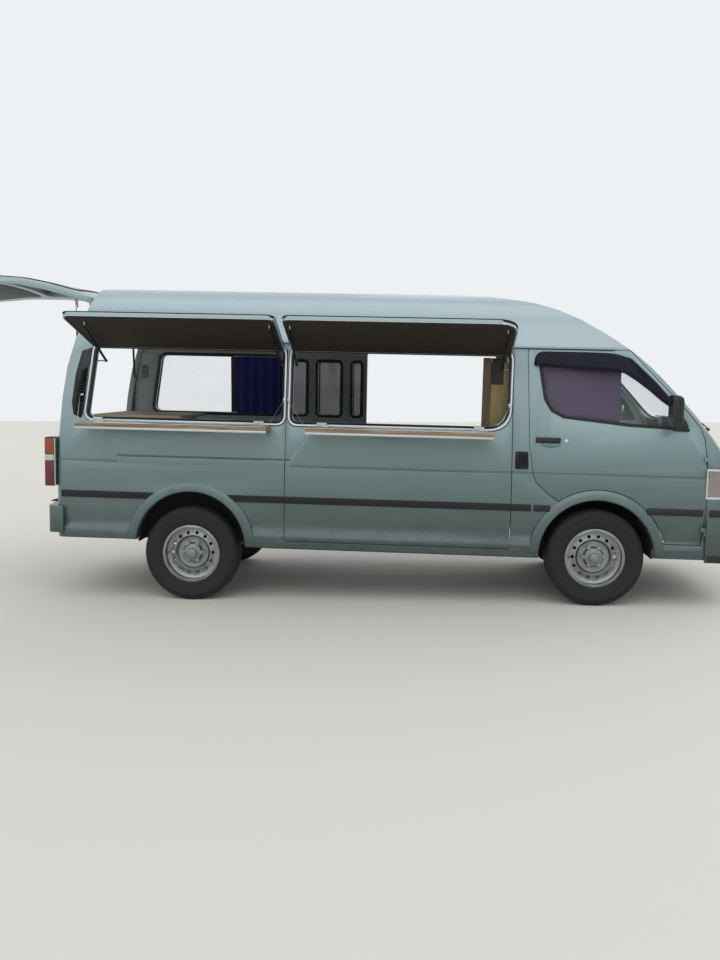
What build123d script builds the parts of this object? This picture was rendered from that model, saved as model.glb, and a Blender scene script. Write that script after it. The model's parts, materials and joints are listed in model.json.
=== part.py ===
"""High-roof market van, standing open for trade, in millimetres.

Built level, with X forward from the rear axle, Y to the left and Z up from the ground. The sprung
body then leans nose-down by its rake about the front axle, and everything is moved so that the
origin is on the ground at the centre of the box round the open van.
"""
import os
from math import atan2, cos, degrees, hypot, radians, sin, sqrt

from build123d import *

os.makedirs("parts", exist_ok=True)

# Chassis
wheelbase = 2890.0
track_front = 1450.0
track_rear = 1430.0
body_rake = 1.41
tyre_radius = 343.0
tyre_width = 195.0
rim_seat_radius = 200.0
rim_flange_radius = 209.0
rim_width = 168.0
stub_radius = 30.0
running_clearance = 0.3
kingpin_y = 670.0
steer_range = 34.0

# Body shell
wall = 50.0
front_wall = 46.0
sill_z = 333.0
crease_z = 937.0
crease_y = 841.0
gutter_z = 1812.0
gutter_y = 772.0
crown_z = 2212.0
floor_top = 620.0
floor_thickness = 30.0
seam = 5.0
glass_thickness = 5.0
nose_curve = 3600.0
nose_corner = 90.0
tail_curve = 6000.0
tail_corner = 90.0
rear_arch = (5.0, 332.0, 398.0)
front_arch = (wheelbase, 358.0, 400.0)
flare_width = 70.0
flare_proud = 12.0
door_rebate = 12.0
door_rebate_y = 812.0

# Height and centre-line X of the front and rear outlines
front_profile = [(300, 3885), (780, 3885), (1000, 3860), (1127, 3808), (1224, 3737), (1339, 3633),
                 (1482, 3500), (1660, 3325), (1744, 3224), (1825, 3120), (1920, 2965), (2008, 2800),
                 (2072, 2642), (2115, 2486), (2140, 2330), (2175, 2060), (2230, 1640)]
rear_profile = [(300, -1040), (753, -1045), (1081, -1036), (1380, -1003), (1603, -964),
                (1788, -906), (2016, -817), (2154, -745), (2230, -698)]

# Lids, counters and doors
slide_travel = 1130.0
slide_out = 74.0
hatch_hinge_z = 1766.0
hatch_thickness = 28.0
hatch_open = 21.7
tailgate_hinge_z = 2132.0
tailgate_raised = 83.2
counter_depth = 205.0
counter_thickness = 42.0
counter_axis_z = 1222.0
counter_axis_y = -837.0
counter_sheet = 3.0
counter_hinge_strip = 12.0

# Outlines of openings, as X and Z of each corner, with a corner's own radius where it isn't the usual one
hatch_rear_outline = [(-704, 1764), (-768, 1236), (664, 1236), (664, 1764)]
hatch_front_outline = [(716, 1764), (712, 1236), (2252, 1236, 150), (2256, 1764)]
slide_door_outline = [(686, 1790), (686, 396), (2288, 396), (2268, 1790)]
open_door_outline = [(1160, 1790), (1160, 396), (2288, 396), (2268, 1790)]
door_outline = [(2371, 1795), (2402, 1128), (2435, 924), (2457, 875), (2528, 806), (2615, 742),
                (2890, 600), (3350, 465), (3608, 465), (3619, 743), (3616, 1001), (3594, 1197),
                (3561, 1276), (3443, 1416), (3233, 1629), (3068, 1795)]
door_window = [(2448, 1694), (2464, 1597), (2491, 1451), (2540, 1370), (2628, 1325), (3081, 1279),
               (3496, 1262), (3390, 1430), (3250, 1582), (3075, 1742), (3000, 1762), (2500, 1770)]
rear_window = [(-655, 1742), (-735, 1240), (385, 1240), (385, 1742)]


def lerp(table, z):
    """Value at height z in a table of height and value pairs."""
    for (z0, v0), (z1, v1) in zip(table, table[1:]):
        if z0 <= z <= z1:
            return v0 + (v1 - v0) * (z - z0) / (z1 - z0)
    raise ValueError(z)


def skin_y(z):
    """Half width of the flat upper side at height z."""
    return crease_y + (gutter_y - crease_y) * (z - crease_z) / (gutter_z - crease_z)


def box(x0, x1, y0, y1, z0, z1):
    return Pos((x0 + x1) / 2, (y0 + y1) / 2, (z0 + z1) / 2) * Box(x1 - x0, y1 - y0, z1 - z0)


def outline(points, radius=0.0):
    """Face of an outline, each corner rounded by the radius or by its own."""
    face = make_face(Polyline(*[point[:2] for point in points], close=True))
    for x, z, *own in points:
        reach = own[0] if own else radius
        if reach:
            face = fillet(face.vertices().sort_by_distance((x, z, 0))[0], reach)
    return face


def across(sketch, y0, y1):
    """Prism of an X-Z outline between two Y values."""
    plane = Plane(origin=(0, y1, 0), x_dir=(1, 0, 0), z_dir=(0, -1, 0))
    return extrude(plane * sketch, amount=y1 - y0)


def along(sketch, x0, x1):
    """Prism of a Y-Z outline between two X values."""
    plane = Plane(origin=(x0, 0, 0), x_dir=(0, 1, 0), z_dir=(1, 0, 0))
    return extrude(plane * sketch, amount=x1 - x0)


def rod(start, end, radius):
    """Round bar between two points."""
    start, end = Vector(*start), Vector(*end)
    plane = Plane(origin=start, z_dir=end - start)
    return extrude(plane * Circle(radius), amount=(end - start).length)


def drum(x, y0, y1, z, radius):
    """Round bar along Y."""
    return rod((x, y0, z), (x, y1, z), radius)


def plan_face(half, curve, corner, inset, z):
    """Plan outline whose curved front is at X = -inset and whose tail is far behind."""
    centre = -curve + sqrt((curve - corner) ** 2 - (half - corner) ** 2)
    half, curve_r, corner_r = half - inset, curve - inset, corner - inset
    corner_y = half - corner_r
    turn = atan2(corner_y, centre + curve)
    joint = (-curve + curve_r * cos(turn), curve_r * sin(turn))
    middle = (turn + radians(90)) / 2
    bend = (centre + corner_r * cos(middle), corner_y + corner_r * sin(middle))
    far = -9000.0
    edges = [Line((far, -half), (centre, -half)),
             ThreePointArc((centre, -half), (bend[0], -bend[1]), (joint[0], -joint[1])),
             ThreePointArc((joint[0], -joint[1]), (-inset, 0), joint),
             ThreePointArc(joint, bend, (centre, half)),
             Line((centre, half), (far, half)),
             Line((far, half), (far, -half))]
    return make_face(edges)


def leaning_block(profile, half, curve, corner, inset, turned):
    """Stack of plan outlines that leans from one height of the profile to the next."""
    face = plan_face(half, curve, corner, inset, 0)
    if turned:
        face = Rot(0, 0, 180) * face
    block = None
    for (z0, x0), (z1, x1) in zip(profile, profile[1:]):
        slab = Solid.extrude((Pos(x0, 0, z0) * face).faces()[0], Vector(x1 - x0, 0, z1 - z0))
        block = slab if block is None else block.fuse(slab)
    return block


# Half cross-section, as Y and Z of each line's or arc's points. The lower side swells below the crease,
# tucks in under the strip and flares out again at the sill
lower_side = [((0, sill_z), (812, sill_z)), ((812, sill_z), (837, 346)), ((837, 346), (840, 424)),
              ((840, 424), (834, 440)), ((834, 440), (811, 478)), ((811, 478), (827, 585), (844, 668)),
              ((844, 668), (847, 800), (844, 929)), ((844, 929), (835, 935)), ((835, 935), (835, 941)),
              ((835, 941), (840.5, 944)), ((840.5, 944), (gutter_y, gutter_z))]
plain_side = [((0, sill_z), (800, sill_z)), ((800, sill_z), (832, 480)),
              ((832, 480), (844, 700), (crease_y, crease_z)), ((crease_y, crease_z), (gutter_y, gutter_z))]
roof_side = [((gutter_y, gutter_z), (742, 1990)), ((742, 1990), (706, 2108), (569, 2167)),
             ((569, 2167), (286, 2201), (0, crown_z))]


def section_face(inset):
    """Cross-section of the body, or a plainer one inside its walls."""
    half = (plain_side if inset else lower_side) + roof_side
    edges = []
    for row in half:
        for side in (1, -1):
            points = [(side * y, z) for y, z in row]
            edges.append(Line(*points) if len(points) == 2 else ThreePointArc(*points))
    face = make_face(edges)
    return offset(face, -inset, kind=Kind.INTERSECTION) if inset else face


def hull(inset_x, inset_side):
    """Whole outer form of the body, or its inner form when inset."""
    front = leaning_block(front_profile, 846, nose_curve, nose_corner, inset_x, False)
    rear = leaning_block(rear_profile, 846, tail_curve, tail_corner, inset_x, True)
    section = section_face(inset_side)
    if inset_side:
        section += Pos(0, 200) * Rectangle(2 * (846 - inset_side - 50), 800)
    return front & rear & along(section, -1300, 4100)


def arch_disc(arch, extra=0.0):
    x, z, radius = arch
    return drum(x, -900, 900, z, radius + extra)


outer = hull(0, 0)
inner = hull(front_wall, wall)
shell = outer - inner
shell -= arch_disc(rear_arch) + arch_disc(front_arch)
shell -= box(-1300, rear_arch[0], -900, 900, 300, 370)
shell -= box(front_arch[0], 4100, -900, 900, 300, 362)


def half_space(side, x0=-1300, x1=4100, z0=0, z1=gutter_z, inboard=0.0):
    """Box over one side of the van."""
    low, high = sorted((side * inboard, side * 900))
    return box(x0, x1, low, high, z0, z1)


def side_slab(side, out, deep, z0=crease_z, z1=1790.0):
    """Band along the flat upper side, from out to deep inside its skin."""
    lean = hypot(gutter_y - crease_y, gutter_z - crease_z)
    normal = ((gutter_z - crease_z) / lean, (crease_y - gutter_y) / lean)
    corners = [(skin_y(z) + t * normal[0], z + t * normal[1])
               for z, t in ((z0, -deep), (z0, out), (z1, out), (z1, -deep))]
    return along(make_face(Polyline(*[(side * y, z) for y, z in corners], close=True)), -1300, 4100)


def opening_prism(points, side, grow=0.0, radius=55.0, inboard=500.0):
    """Prism through one side wall on a grown outline."""
    face = outline(points, radius)
    if grow:
        face = offset(face, grow)
    low, high = sorted((side * inboard, side * 1000))
    return across(face, low, high)


def door_prism(side, grow):
    """Front door outline less the disc of its wheel arch."""
    disc = arch_disc(front_arch, flare_width + 2 + seam - grow)
    return opening_prism(door_outline, side, grow, 12.0) - disc


def arch_flare(arch, side):
    """Proud rounded lip round a wheel arch, down to the sill."""
    x, z, radius = arch
    proud = crease_y + 4 + flare_proud
    rim, edge = radius, radius + flare_width
    profile = [Line((rim, 846 - wall), (rim, proud - 14)),
               ThreePointArc((rim, proud - 14), (rim + 4, proud - 4), (rim + 14, proud)),
               ThreePointArc((rim + 14, proud), (rim + 44, proud - 2), (edge - 4, proud - 9)),
               Line((edge - 4, proud - 9), (edge, proud - 15)), Line((edge, proud - 15), (edge, 846 - wall)),
               Line((edge, 846 - wall), (rim, 846 - wall))]
    ring = revolve(make_face(profile), Axis.Y)
    if side < 0:
        ring = mirror(ring, Plane.XZ)
    return (Pos(x, 0, z) * ring) & box(x - 600, x + 600, -900, 900, 380, 1200)


def hinge_pair(axis_point, direction, half_length, radius):
    """Two knuckles in line: one for the fixed side and one for the moving side."""
    point, direction = Vector(*axis_point), Vector(*direction).normalized()
    gap = running_clearance / 2
    fixed = rod(point - direction * half_length, point - direction * gap, radius)
    moving = rod(point + direction * gap, point + direction * half_length, radius)
    return fixed, moving


# Panels
windscreen_outline = [(-700, 1815), (-752, 1290), (752, 1290), (700, 1815)]
tailgate_outline = [(-655, 2126), (-712, 1700), (-716, 606), (716, 606), (712, 1700), (655, 2126)]
tailgate_window = [(-560, 1975), (-600, 1300), (600, 1300), (560, 1975)]
headlamp_box = (3620, 3960, 500, 860, 790, 1000)
tail_lamp_box = (-1120, -985, 735, 860, 746, 1089)
tail_lamp_rear, tail_lamp_out = -1060.0, 844.0
grille_outline = [(-430, 975), (-430, 815), (430, 815), (430, 975)]


def both_sides(function):
    return function(1) + function(-1)


def lamp_zone(box_values):
    x0, x1, y0, y1, z0, z1 = box_values
    return box(x0, x1, y0, y1, z0, z1) + box(x0, x1, -y1, -y0, z0, z1)


def tail_lamp(side):
    """Square-cornered rear lamp that fills the body's corner."""
    x0, x1, y0, y1, z0, z1 = tail_lamp_box
    block = box(tail_lamp_rear, x1, *sorted((side * y0, side * tail_lamp_out)), z0, z1)
    uprights = block.edges().filter_by(Axis.Z)
    corner = uprights.sort_by(lambda edge: edge.center().X - side * edge.center().Y * 0.5)[0]
    return fillet(corner, 14)


lamps = (shell & lamp_zone(headlamp_box)) + tail_lamp(1) + tail_lamp(-1)
grille_zone = along(outline(grille_outline, 25), 3700, 4000)
grille_piece = shell & grille_zone
windscreen_zone = along(outline(windscreen_outline, 90), 2900, 4000)
tailgate_zone = along(outline(tailgate_outline, 70), -1300, -500)
tailgate_gap = along(offset(outline(tailgate_outline, 70), seam), -1300, -500)
tailgate_glass_zone = along(outline(tailgate_window, 80), -1300, -500)
skin = shell - lamp_zone(headlamp_box) - lamp_zone(tail_lamp_box) - grille_zone

roof = (skin & box(-1300, 4100, -900, 900, gutter_z, 2300)) - tailgate_gap - windscreen_zone
lower = (skin & box(-1300, 4100, -900, 900, 0, gutter_z)) - tailgate_gap - windscreen_zone
nose_zone = box(3100, 4100, -900, 900, 700, gutter_z) + box(wheelbase, 4100, -900, 900, 0, 700)
door_gaps = door_prism(1, seam) + door_prism(-1, seam)
nose = (lower & nose_zone) - door_gaps
sides = lower - nose_zone - door_gaps


rail_low, rail_high = 975.0, 985.0


def rail_slot(side, x0, x1):
    """Slot of the sliding door's middle rail, above the crease."""
    low, high = sorted((side * (crease_y - 22), side * 870))
    return box(x0, x1, low, high, rail_low, rail_high)


def rail_cover(side, x0, x1):
    """Fill between the crease and the rail's slot, flush with the lower side."""
    points = [(800, 928), (844.5, 928), (844.5, 970), (840, rail_low), (800, rail_low)]
    return along(make_face(Polyline(*[(side * y, z) for y, z in points], close=True)), x0, x1)


def body_side(side):
    """Side panel with its door opening, hatch opening or window, rail slot and arch lips."""
    panel = sides & half_space(side)
    panel += arch_flare(rear_arch, side)
    panel += arch_flare(front_arch, side)
    low, high = sorted((side * (gutter_y - 4), side * (gutter_y + 12)))
    panel += box(-600, 2960, low, high, gutter_z - 10, gutter_z)
    panel += rail_cover(side, -530, 680 if side < 0 else 1130)
    if side < 0:
        panel -= opening_prism(slide_door_outline, side, seam, 20.0)
        panel -= opening_prism(hatch_rear_outline, side, -14)
        panel -= opening_prism(hatch_rear_outline, side, 4) & side_slab(side, 60, 30)
        panel -= rail_slot(side, -530, 675)
    else:
        panel -= opening_prism(open_door_outline, side, 0.0, 20.0)
        panel -= opening_prism(rear_window, side)
        panel -= rail_slot(side, -530, 1150)
    return panel


side_panel_right = body_side(-1)
side_panel_left = body_side(1)

# Closed right door, with the front hatch opening, its latch blocks and the hatch rebate
slide_door_right = (lower & half_space(-1)) & opening_prism(slide_door_outline, -1, 0.0, 20.0)
for x, z in ((686 - seam / 2, 700), (686 - seam / 2, 1100), (2288 + seam / 2 - 4, 700)):
    slide_door_right += box(x - seam / 2 - 1, x + seam / 2 + 5, -818, -806, z - 30, z + 30)
slide_door_right -= opening_prism(hatch_front_outline, -1, -14)
slide_door_right -= opening_prism(hatch_front_outline, -1, 4) & side_slab(-1, 60, 30)
slide_door_right += rail_cover(-1, 688, 728)
slide_door_right -= rail_slot(-1, 680, 724)
slide_door_right -= side_panel_right

# Left door, slid back outside the body, with its roller arm in the rail. Its three narrow windows stand
# before the same three in the body's side
open_door_panes = [(425, 628), (727, 929), (1030, 1108)]
slide_door_left = (lower & half_space(1)) & opening_prism(open_door_outline, 1, 0.0, 20.0)
slide_door_left = Pos(-slide_travel, slide_out, 0) * slide_door_left
pane_zones = [opening_prism([(x0, 1709), (x0, 1242), (x1, 1242), (x1, 1709)], 1, 0.0, 30.0)
              for x0, x1 in open_door_panes]
for pane in pane_zones:
    slide_door_left -= pane
    side_panel_left -= pane
slide_door_left -= box(0, 1200, 0, crease_y + 4 + flare_proud + 6, 300, 700)
slide_door_left += box(1080, 1130, crease_y - 20, crease_y + 40, rail_low + 1, rail_high - 1)


def front_door(side):
    """Front door as cut from the side, with its window opening and a rebate that clears the arch lip."""
    door = (lower & half_space(side)) & door_prism(side, 0.0)
    door -= opening_prism(door_window, side, 0.0, 22.0)
    x, z, radius = front_arch
    return door - drum(x, 0, side * door_rebate_y, z, radius + flare_width + 2 + seam + door_rebate)


door_axis_x = 3622.0
door_axis_y = crease_y + 7.0
door_hinge_heights = (560.0, 1050.0)
knuckle_half = 28.0
knuckle_radius = 6.5


def door_hinges(side):
    """Fixed and moving knuckles of a front door, with the leaf of each."""
    fixed, moving = None, None
    low, high = sorted((side * (crease_y - 24), side * (door_axis_y + 3)))
    for z in door_hinge_heights:
        lower_knuckle, upper_knuckle = hinge_pair((door_axis_x, side * door_axis_y, z), (0, 0, 1),
                                                  knuckle_half, knuckle_radius)
        lower_knuckle += box(door_axis_x, door_axis_x + 26, low, high, z - knuckle_half, z - 1)
        upper_knuckle += box(door_axis_x - 30, door_axis_x - 2, low, high, z + 1, z + knuckle_half)
        fixed = lower_knuckle if fixed is None else fixed + lower_knuckle
        moving = upper_knuckle if moving is None else moving + upper_knuckle
    return fixed, moving


door_left = front_door(1)
door_right = front_door(-1)
fixed_left, moving_left = door_hinges(1)
fixed_right, moving_right = door_hinges(-1)
nose += fixed_left + fixed_right
for side in (1, -1):
    low, high = sorted((side * 800, side * 870))
    for z in door_hinge_heights:
        top = z + knuckle_half + 3
        nose -= rod((door_axis_x, side * door_axis_y, z), (door_axis_x, side * door_axis_y, top), 9)
        nose -= box(door_axis_x - 14, door_axis_x + 1, low, high, z, top)
    nose -= arch_flare(front_arch, side)
door_left += moving_left
door_right += moving_right
door_glass_left = side_slab(1, -10, 15) & opening_prism(door_window, 1, 0.0, 22.0) & door_prism(1, 0)
door_glass_right = side_slab(-1, -10, 15) & opening_prism(door_window, -1, 0.0, 22.0) & door_prism(-1, 0)

# Tailgate, built closed and then raised about its top edge
tailgate_axis = (lerp(rear_profile, tailgate_hinge_z) - 2, 0, tailgate_hinge_z)
raise_tailgate = Axis(tailgate_axis, (0, 1, 0))
tailgate_hinge_y = 300.0
glass_slab = hull(0, 0) - (Pos(glass_thickness + 6, 0, 0) * hull(0, 0))
tailgate_glass = (glass_slab - (outer - (Pos(6, 0, 0) * outer))) & tailgate_glass_zone
tailgate = (skin & tailgate_zone) - tailgate_glass_zone
for side in (1, -1):
    x, z = tailgate_axis[0], tailgate_axis[2]
    fixed, moving = hinge_pair((x, side * tailgate_hinge_y, z), (0, 1, 0), 30, 6.5)
    y0, y1 = side * tailgate_hinge_y - 30, side * tailgate_hinge_y + 30
    middle = side * tailgate_hinge_y
    roof += fixed + box(x - 4, x + 30, y0, middle - 1, z + 3, z + 14)
    tailgate -= rod((x, y0 - 3, z), (x, middle, z), 8)
    roof -= rod((x, middle, z), (x, y1 + 3, z), 8)
    tailgate += moving + box(x - 4, x + 30, middle + 1, y1, z - 16, z - 3)


def raised(shape):
    return shape.rotate(raise_tailgate, tailgate_raised)


# Hatches, built closed and then raised about their top edges
hatch_axis_y = -skin_y(hatch_hinge_z)
closed_angle = degrees(atan2(-(gutter_z - crease_z), -(crease_y - gutter_y))) % 360
hatch_swing = closed_angle - (180 - hatch_open)
raise_hatch = Axis((0, hatch_axis_y, hatch_hinge_z), (1, 0, 0))


def lifted(shape):
    return shape.rotate(raise_hatch, -hatch_swing)


def hatch_and_lugs(outline_points, hinge_xs):
    """Closed hatch with its moving knuckles, and the fixed knuckles for the body."""
    hatch = side_slab(-1, 0, hatch_thickness) & opening_prism(outline_points, -1)
    lugs = None
    y, z = hatch_axis_y, hatch_hinge_z
    for x in hinge_xs:
        fixed, moving = hinge_pair((x, y, z), (1, 0, 0), 30, 5)
        fixed += box(x - 30, x - 1, y - 3, y + 5, z + 3.5, z + 16)
        hatch -= rod((x - 33, y, z), (x, y, z), 7)
        hatch += moving + box(x + 1, x + 30, y - 3, y + 3, z - 12, z - 1)
        lugs = fixed if lugs is None else lugs + fixed
    return hatch, lugs


def hinge_clearance(hinge_xs):
    """Room in the body for the moving knuckles."""
    rods = [rod((x, hatch_axis_y, hatch_hinge_z), (x + 33, hatch_axis_y, hatch_hinge_z), 7) for x in hinge_xs]
    return rods[0] + rods[1]


rear_hinge_xs = (-480, 520)
front_hinge_xs = (860, 2110)
hatch_rear, rear_lugs = hatch_and_lugs(hatch_rear_outline, rear_hinge_xs)
hatch_front, front_lugs = hatch_and_lugs(hatch_front_outline, front_hinge_xs)
side_panel_right -= hinge_clearance(rear_hinge_xs)
side_panel_right += rear_lugs
slide_door_right -= hinge_clearance(front_hinge_xs)
slide_door_right += front_lugs

# Gas struts: each tube turns on a pin and its rod slides, with the rod's eye beside a lug on the lid
strut_tube_radius = 9.0
strut_rod_radius = 4.5
strut_pin_radius = 5.0
strut_eye = 9.0


def turned_about(point, centre, angle):
    """Point of a plane turned about a centre by an angle in degrees."""
    a = radians(angle)
    u, v = point[0] - centre[0], point[1] - centre[1]
    return (centre[0] + u * cos(a) - v * sin(a), centre[1] + u * sin(a) + v * cos(a))


def strut(place, anchor, eye, closed_length, boss):
    """Tube and rod from an anchor to an eye, in a plane named by place, which maps (u, v, w).

    The rod's eye is a boss between the two values of w in boss.
    """
    length = hypot(eye[0] - anchor[0], eye[1] - anchor[1])
    tube_end = closed_length - 2.5 * strut_eye
    step = ((eye[0] - anchor[0]) / length, (eye[1] - anchor[1]) / length)

    def on_line(distance):
        return (anchor[0] + step[0] * distance, anchor[1] + step[1] * distance)

    tube = rod(place(*on_line(strut_eye * 0.6), 0), place(*on_line(tube_end), 0), strut_tube_radius)
    tube += rod(place(*anchor, -7), place(*anchor, 7), strut_eye)
    tube -= rod(place(*anchor, -20), place(*anchor, 20), strut_pin_radius + running_clearance)
    tube -= rod(place(*on_line(0), 0), place(*on_line(tube_end + 5), 0), strut_rod_radius + running_clearance)
    tube += rod(place(*on_line(strut_eye * 0.7), 0), place(*on_line(strut_eye * 1.5), 0), strut_tube_radius)
    tube -= rod(place(*anchor, -20), place(*anchor, 20), strut_pin_radius + running_clearance)
    piston = rod(place(*on_line(length - closed_length + 3 * strut_eye), 0),
                 place(*on_line(length - 3), 0), strut_rod_radius)
    piston += rod(place(*eye, boss[0]), place(*eye, boss[1]), strut_eye)
    return tube, piston


hatch_anchor = (-742.0, 1650.0)
hatch_eye_reach = 430.0
hatch_eye_depth = hatch_thickness + 16.0
lean = radians(closed_angle)
hatch_eye_closed = (hatch_axis_y + hatch_eye_reach * cos(lean) - hatch_eye_depth * sin(lean),
                    hatch_hinge_z + hatch_eye_reach * sin(lean) + hatch_eye_depth * cos(lean))
hatch_eye_open = turned_about(hatch_eye_closed, (hatch_axis_y, hatch_hinge_z), -hatch_swing)
hatch_strut_closed = hypot(hatch_eye_closed[0] - hatch_anchor[0], hatch_eye_closed[1] - hatch_anchor[1])
# X of each strut, side of the opening it stands at and length of its pin into the body
hatch_strut_rows = {"rear": ((-640, -1, 85), (630, 1, 50)), "front": ((748, -1, 50), (2196, 1, 60))}


def hatch_struts(name):
    """Tubes, rods, lid lugs and body pins of one hatch's two struts."""
    tubes, rods, lugs, pins = None, None, None, None
    for x, end, pin_length in hatch_strut_rows[name]:
        def place(u, v, w):
            return (x + w, u, v)
        tube, piston = strut(place, hatch_anchor, hatch_eye_open, hatch_strut_closed, (-5, 5))
        pin = rod((x - end * 8, *hatch_anchor), (x + end * pin_length, *hatch_anchor), strut_pin_radius)
        low, high = sorted((x - end * (5 + running_clearance), x - end * 13))
        y, z = hatch_eye_closed
        lug = box(low, high, y - 32, y + 8, z - 10, z + 10)
        tubes = tube if tubes is None else tubes + tube
        rods = piston if rods is None else rods + piston
        pins = pin if pins is None else pins + pin
        lugs = lug if lugs is None else lugs + lug
    return tubes, rods, lugs, pins


rear_tubes, rear_rods, lugs, pins = hatch_struts("rear")
hatch_rear += lugs & side_slab(-1, -2, 200)
side_panel_right += pins
front_tubes, front_rods, lugs, pins = hatch_struts("front")
hatch_front += lugs & side_slab(-1, -2, 200)
slide_door_right += pins
hatch_rear = lifted(hatch_rear)
hatch_front = lifted(hatch_front)

tail_strut_y = 646.0
tail_boss = strut_tube_radius + 5.0
tail_anchor_z, tail_anchor_gap = 1540.0, 18.0
tail_eye_z, tail_eye_gap = 1985.0, 62.0
tail_inner = tail_curve - sqrt(tail_curve ** 2 - tail_strut_y ** 2) + front_wall
tail_anchor = (lerp(rear_profile, tail_anchor_z) + tail_inner + tail_anchor_gap, tail_anchor_z)
tail_eye_closed = (lerp(rear_profile, tail_eye_z) + tail_inner + tail_eye_gap, tail_eye_z)
tail_eye_open = turned_about(tail_eye_closed, (tailgate_axis[0], tailgate_axis[2]), -tailgate_raised)
tail_strut_closed = hypot(tail_eye_closed[0] - tail_anchor[0], tail_eye_closed[1] - tail_anchor[1])
tailgate_tubes, tailgate_rods = None, None
for side in (1, -1):
    def place(u, v, w):
        return (u, side * tail_strut_y + w, v)
    boss = sorted((side * 5, -side * tail_boss))
    tube, piston = strut(place, tail_anchor, tail_eye_open, tail_strut_closed, boss)
    tailgate_tubes = tube if tailgate_tubes is None else tailgate_tubes + tube
    tailgate_rods = piston if tailgate_rods is None else tailgate_rods + piston
    x, z = tail_anchor
    pin = rod((x, side * (tail_strut_y - 8), z), (x, side * 750, z), strut_pin_radius)
    lug_y = tail_strut_y - tail_boss - running_clearance
    low, high = sorted((side * lug_y, side * (lug_y - 8)))
    x, z = tail_eye_closed
    tailgate += box(x - tail_eye_gap - front_wall / 2, x + 8, low, high, z - 10, z + 10)
    if side > 0:
        side_panel_left += pin
    else:
        side_panel_right += pin
tailgate = raised(tailgate)
tailgate_glass = raised(tailgate_glass)

# Fold-out counters
counter_spans = {"rear": (-766.0, 579.0), "front": (850.0, 2135.0)}
counter_hinge_inset = 90.0


def counter(name):
    """Counter board with its top sheet and moving knuckles, and the fixed knuckles for the body."""
    x0, x1 = counter_spans[name]
    top = counter_axis_z - 4
    y_in = counter_axis_y + 4
    board = box(x0, x1, y_in - counter_depth, y_in, top - counter_thickness, top)
    y, z = counter_axis_y, counter_axis_z
    sheet_y = y_in - counter_depth + 2
    board += box(x0 + 2, x1 - 2, sheet_y, y - counter_hinge_strip, top, top + counter_sheet)
    lugs = None
    for x in (x0 + counter_hinge_inset, x1 - counter_hinge_inset):
        fixed, moving = hinge_pair((x, y, z), (1, 0, 0), 40, 4.5)
        fixed += box(x - 40, x - 1, y, y + 30, z - 2.5, z + 2.5)
        board -= rod((x - 43, y, z), (x, y, z), 6.5)
        board += moving + box(x + 1, x + 40, y - 8, y, z - 8, z + 2)
        lugs = fixed if lugs is None else lugs + fixed
    return board, lugs


counter_rear, lugs = counter("rear")
side_panel_right += lugs
counter_front, lugs = counter("front")
slide_door_right += lugs

# Fixed glass: windscreen, left rear window and the panes of the open door
front_glass_slab = outer - (Pos(-8, 0, 0) * outer)
windscreen = front_glass_slab & windscreen_zone
left_glass = side_slab(1, -10, 15) & opening_prism(rear_window, 1)
pane_glass = None
for pane in pane_zones:
    glass = (Pos(0, slide_out, 0) * side_slab(1, -20, 25)) & pane
    pane_glass = glass if pane_glass is None else pane_glass + glass
side_glass = left_glass + pane_glass

# Front grille with open slots, and its lamps
for z in (838, 866, 894, 922):
    grille_piece -= box(3700, 4000, -400, 400, z, z + 16)

# Bumpers
bumper_front_top, bumper_front_low, bumper_front_out = 768.0, 346.0, 30.0
bumper_rear_top, bumper_rear_low, bumper_rear_out = 600.0, 404.0, 58.0


def bumper(profile, curve, corner, out, turned, z0, z1, x0, x1):
    face = plan_face(852, curve, corner, 0, 0)
    x = lerp(profile, (z0 + z1) / 2) + out
    if turned:
        face = Rot(0, 0, 180) * face
        x -= 2 * out
    block = Solid.extrude((Pos(x, 0, z0) * face).faces()[0], Vector(0, 0, z1 - z0))
    return (block & box(x0, x1, -900, 900, z0, z1)) - outer


bumper_front = bumper(front_profile, nose_curve, 85, bumper_front_out, False,
                      bumper_front_low, bumper_front_top, 3632, 4100)
tow_eye = (3884.0, -330.0, 318.0)
tow_eye_radius, tow_eye_hole, tow_eye_half = 30.0, 17.0, 7.0
x, y, z = tow_eye
bumper_front += drum(x, y - tow_eye_half, y + tow_eye_half, z, tow_eye_radius)
bumper_front += box(x - 10, x + 18, y - tow_eye_half, y + tow_eye_half, z + 20, bumper_front_low + 8)
bumper_front -= drum(x, y - 50, y + 50, z, tow_eye_hole)
bumper_front -= nose
bumper_rear = bumper(rear_profile, tail_curve, 45, bumper_rear_out, True,
                     bumper_rear_low, bumper_rear_top, -1300, -930)

# Black strips along the lower sides, as the X of both ends of each run
strip_low, strip_high, strip_proud = 668.0, 716.0, 8.0
right_strips = [(-940, 0), (0, 2425)]
left_strips = [(-940, 0), (0, 1150), (2300, 2425)]
open_door_strip = (1170, 2280)
front_door_strips = [(3000, 3605), (2441, 2700)]


def strip(x0, x1, side):
    low, high = sorted((side * (crease_y - 20), side * (crease_y + 4 + strip_proud)))
    bar = box(x0, x1, low, high, strip_low, strip_high)
    return bar - outer - arch_disc(front_arch, flare_width) - arch_disc(rear_arch, flare_width)


side_strips = Pos(-slide_travel, slide_out, 0) * strip(*open_door_strip, 1)
for side, spans in ((-1, right_strips), (1, left_strips)):
    for x0, x1 in spans:
        side_strips += strip(x0, x1, side)


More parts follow.
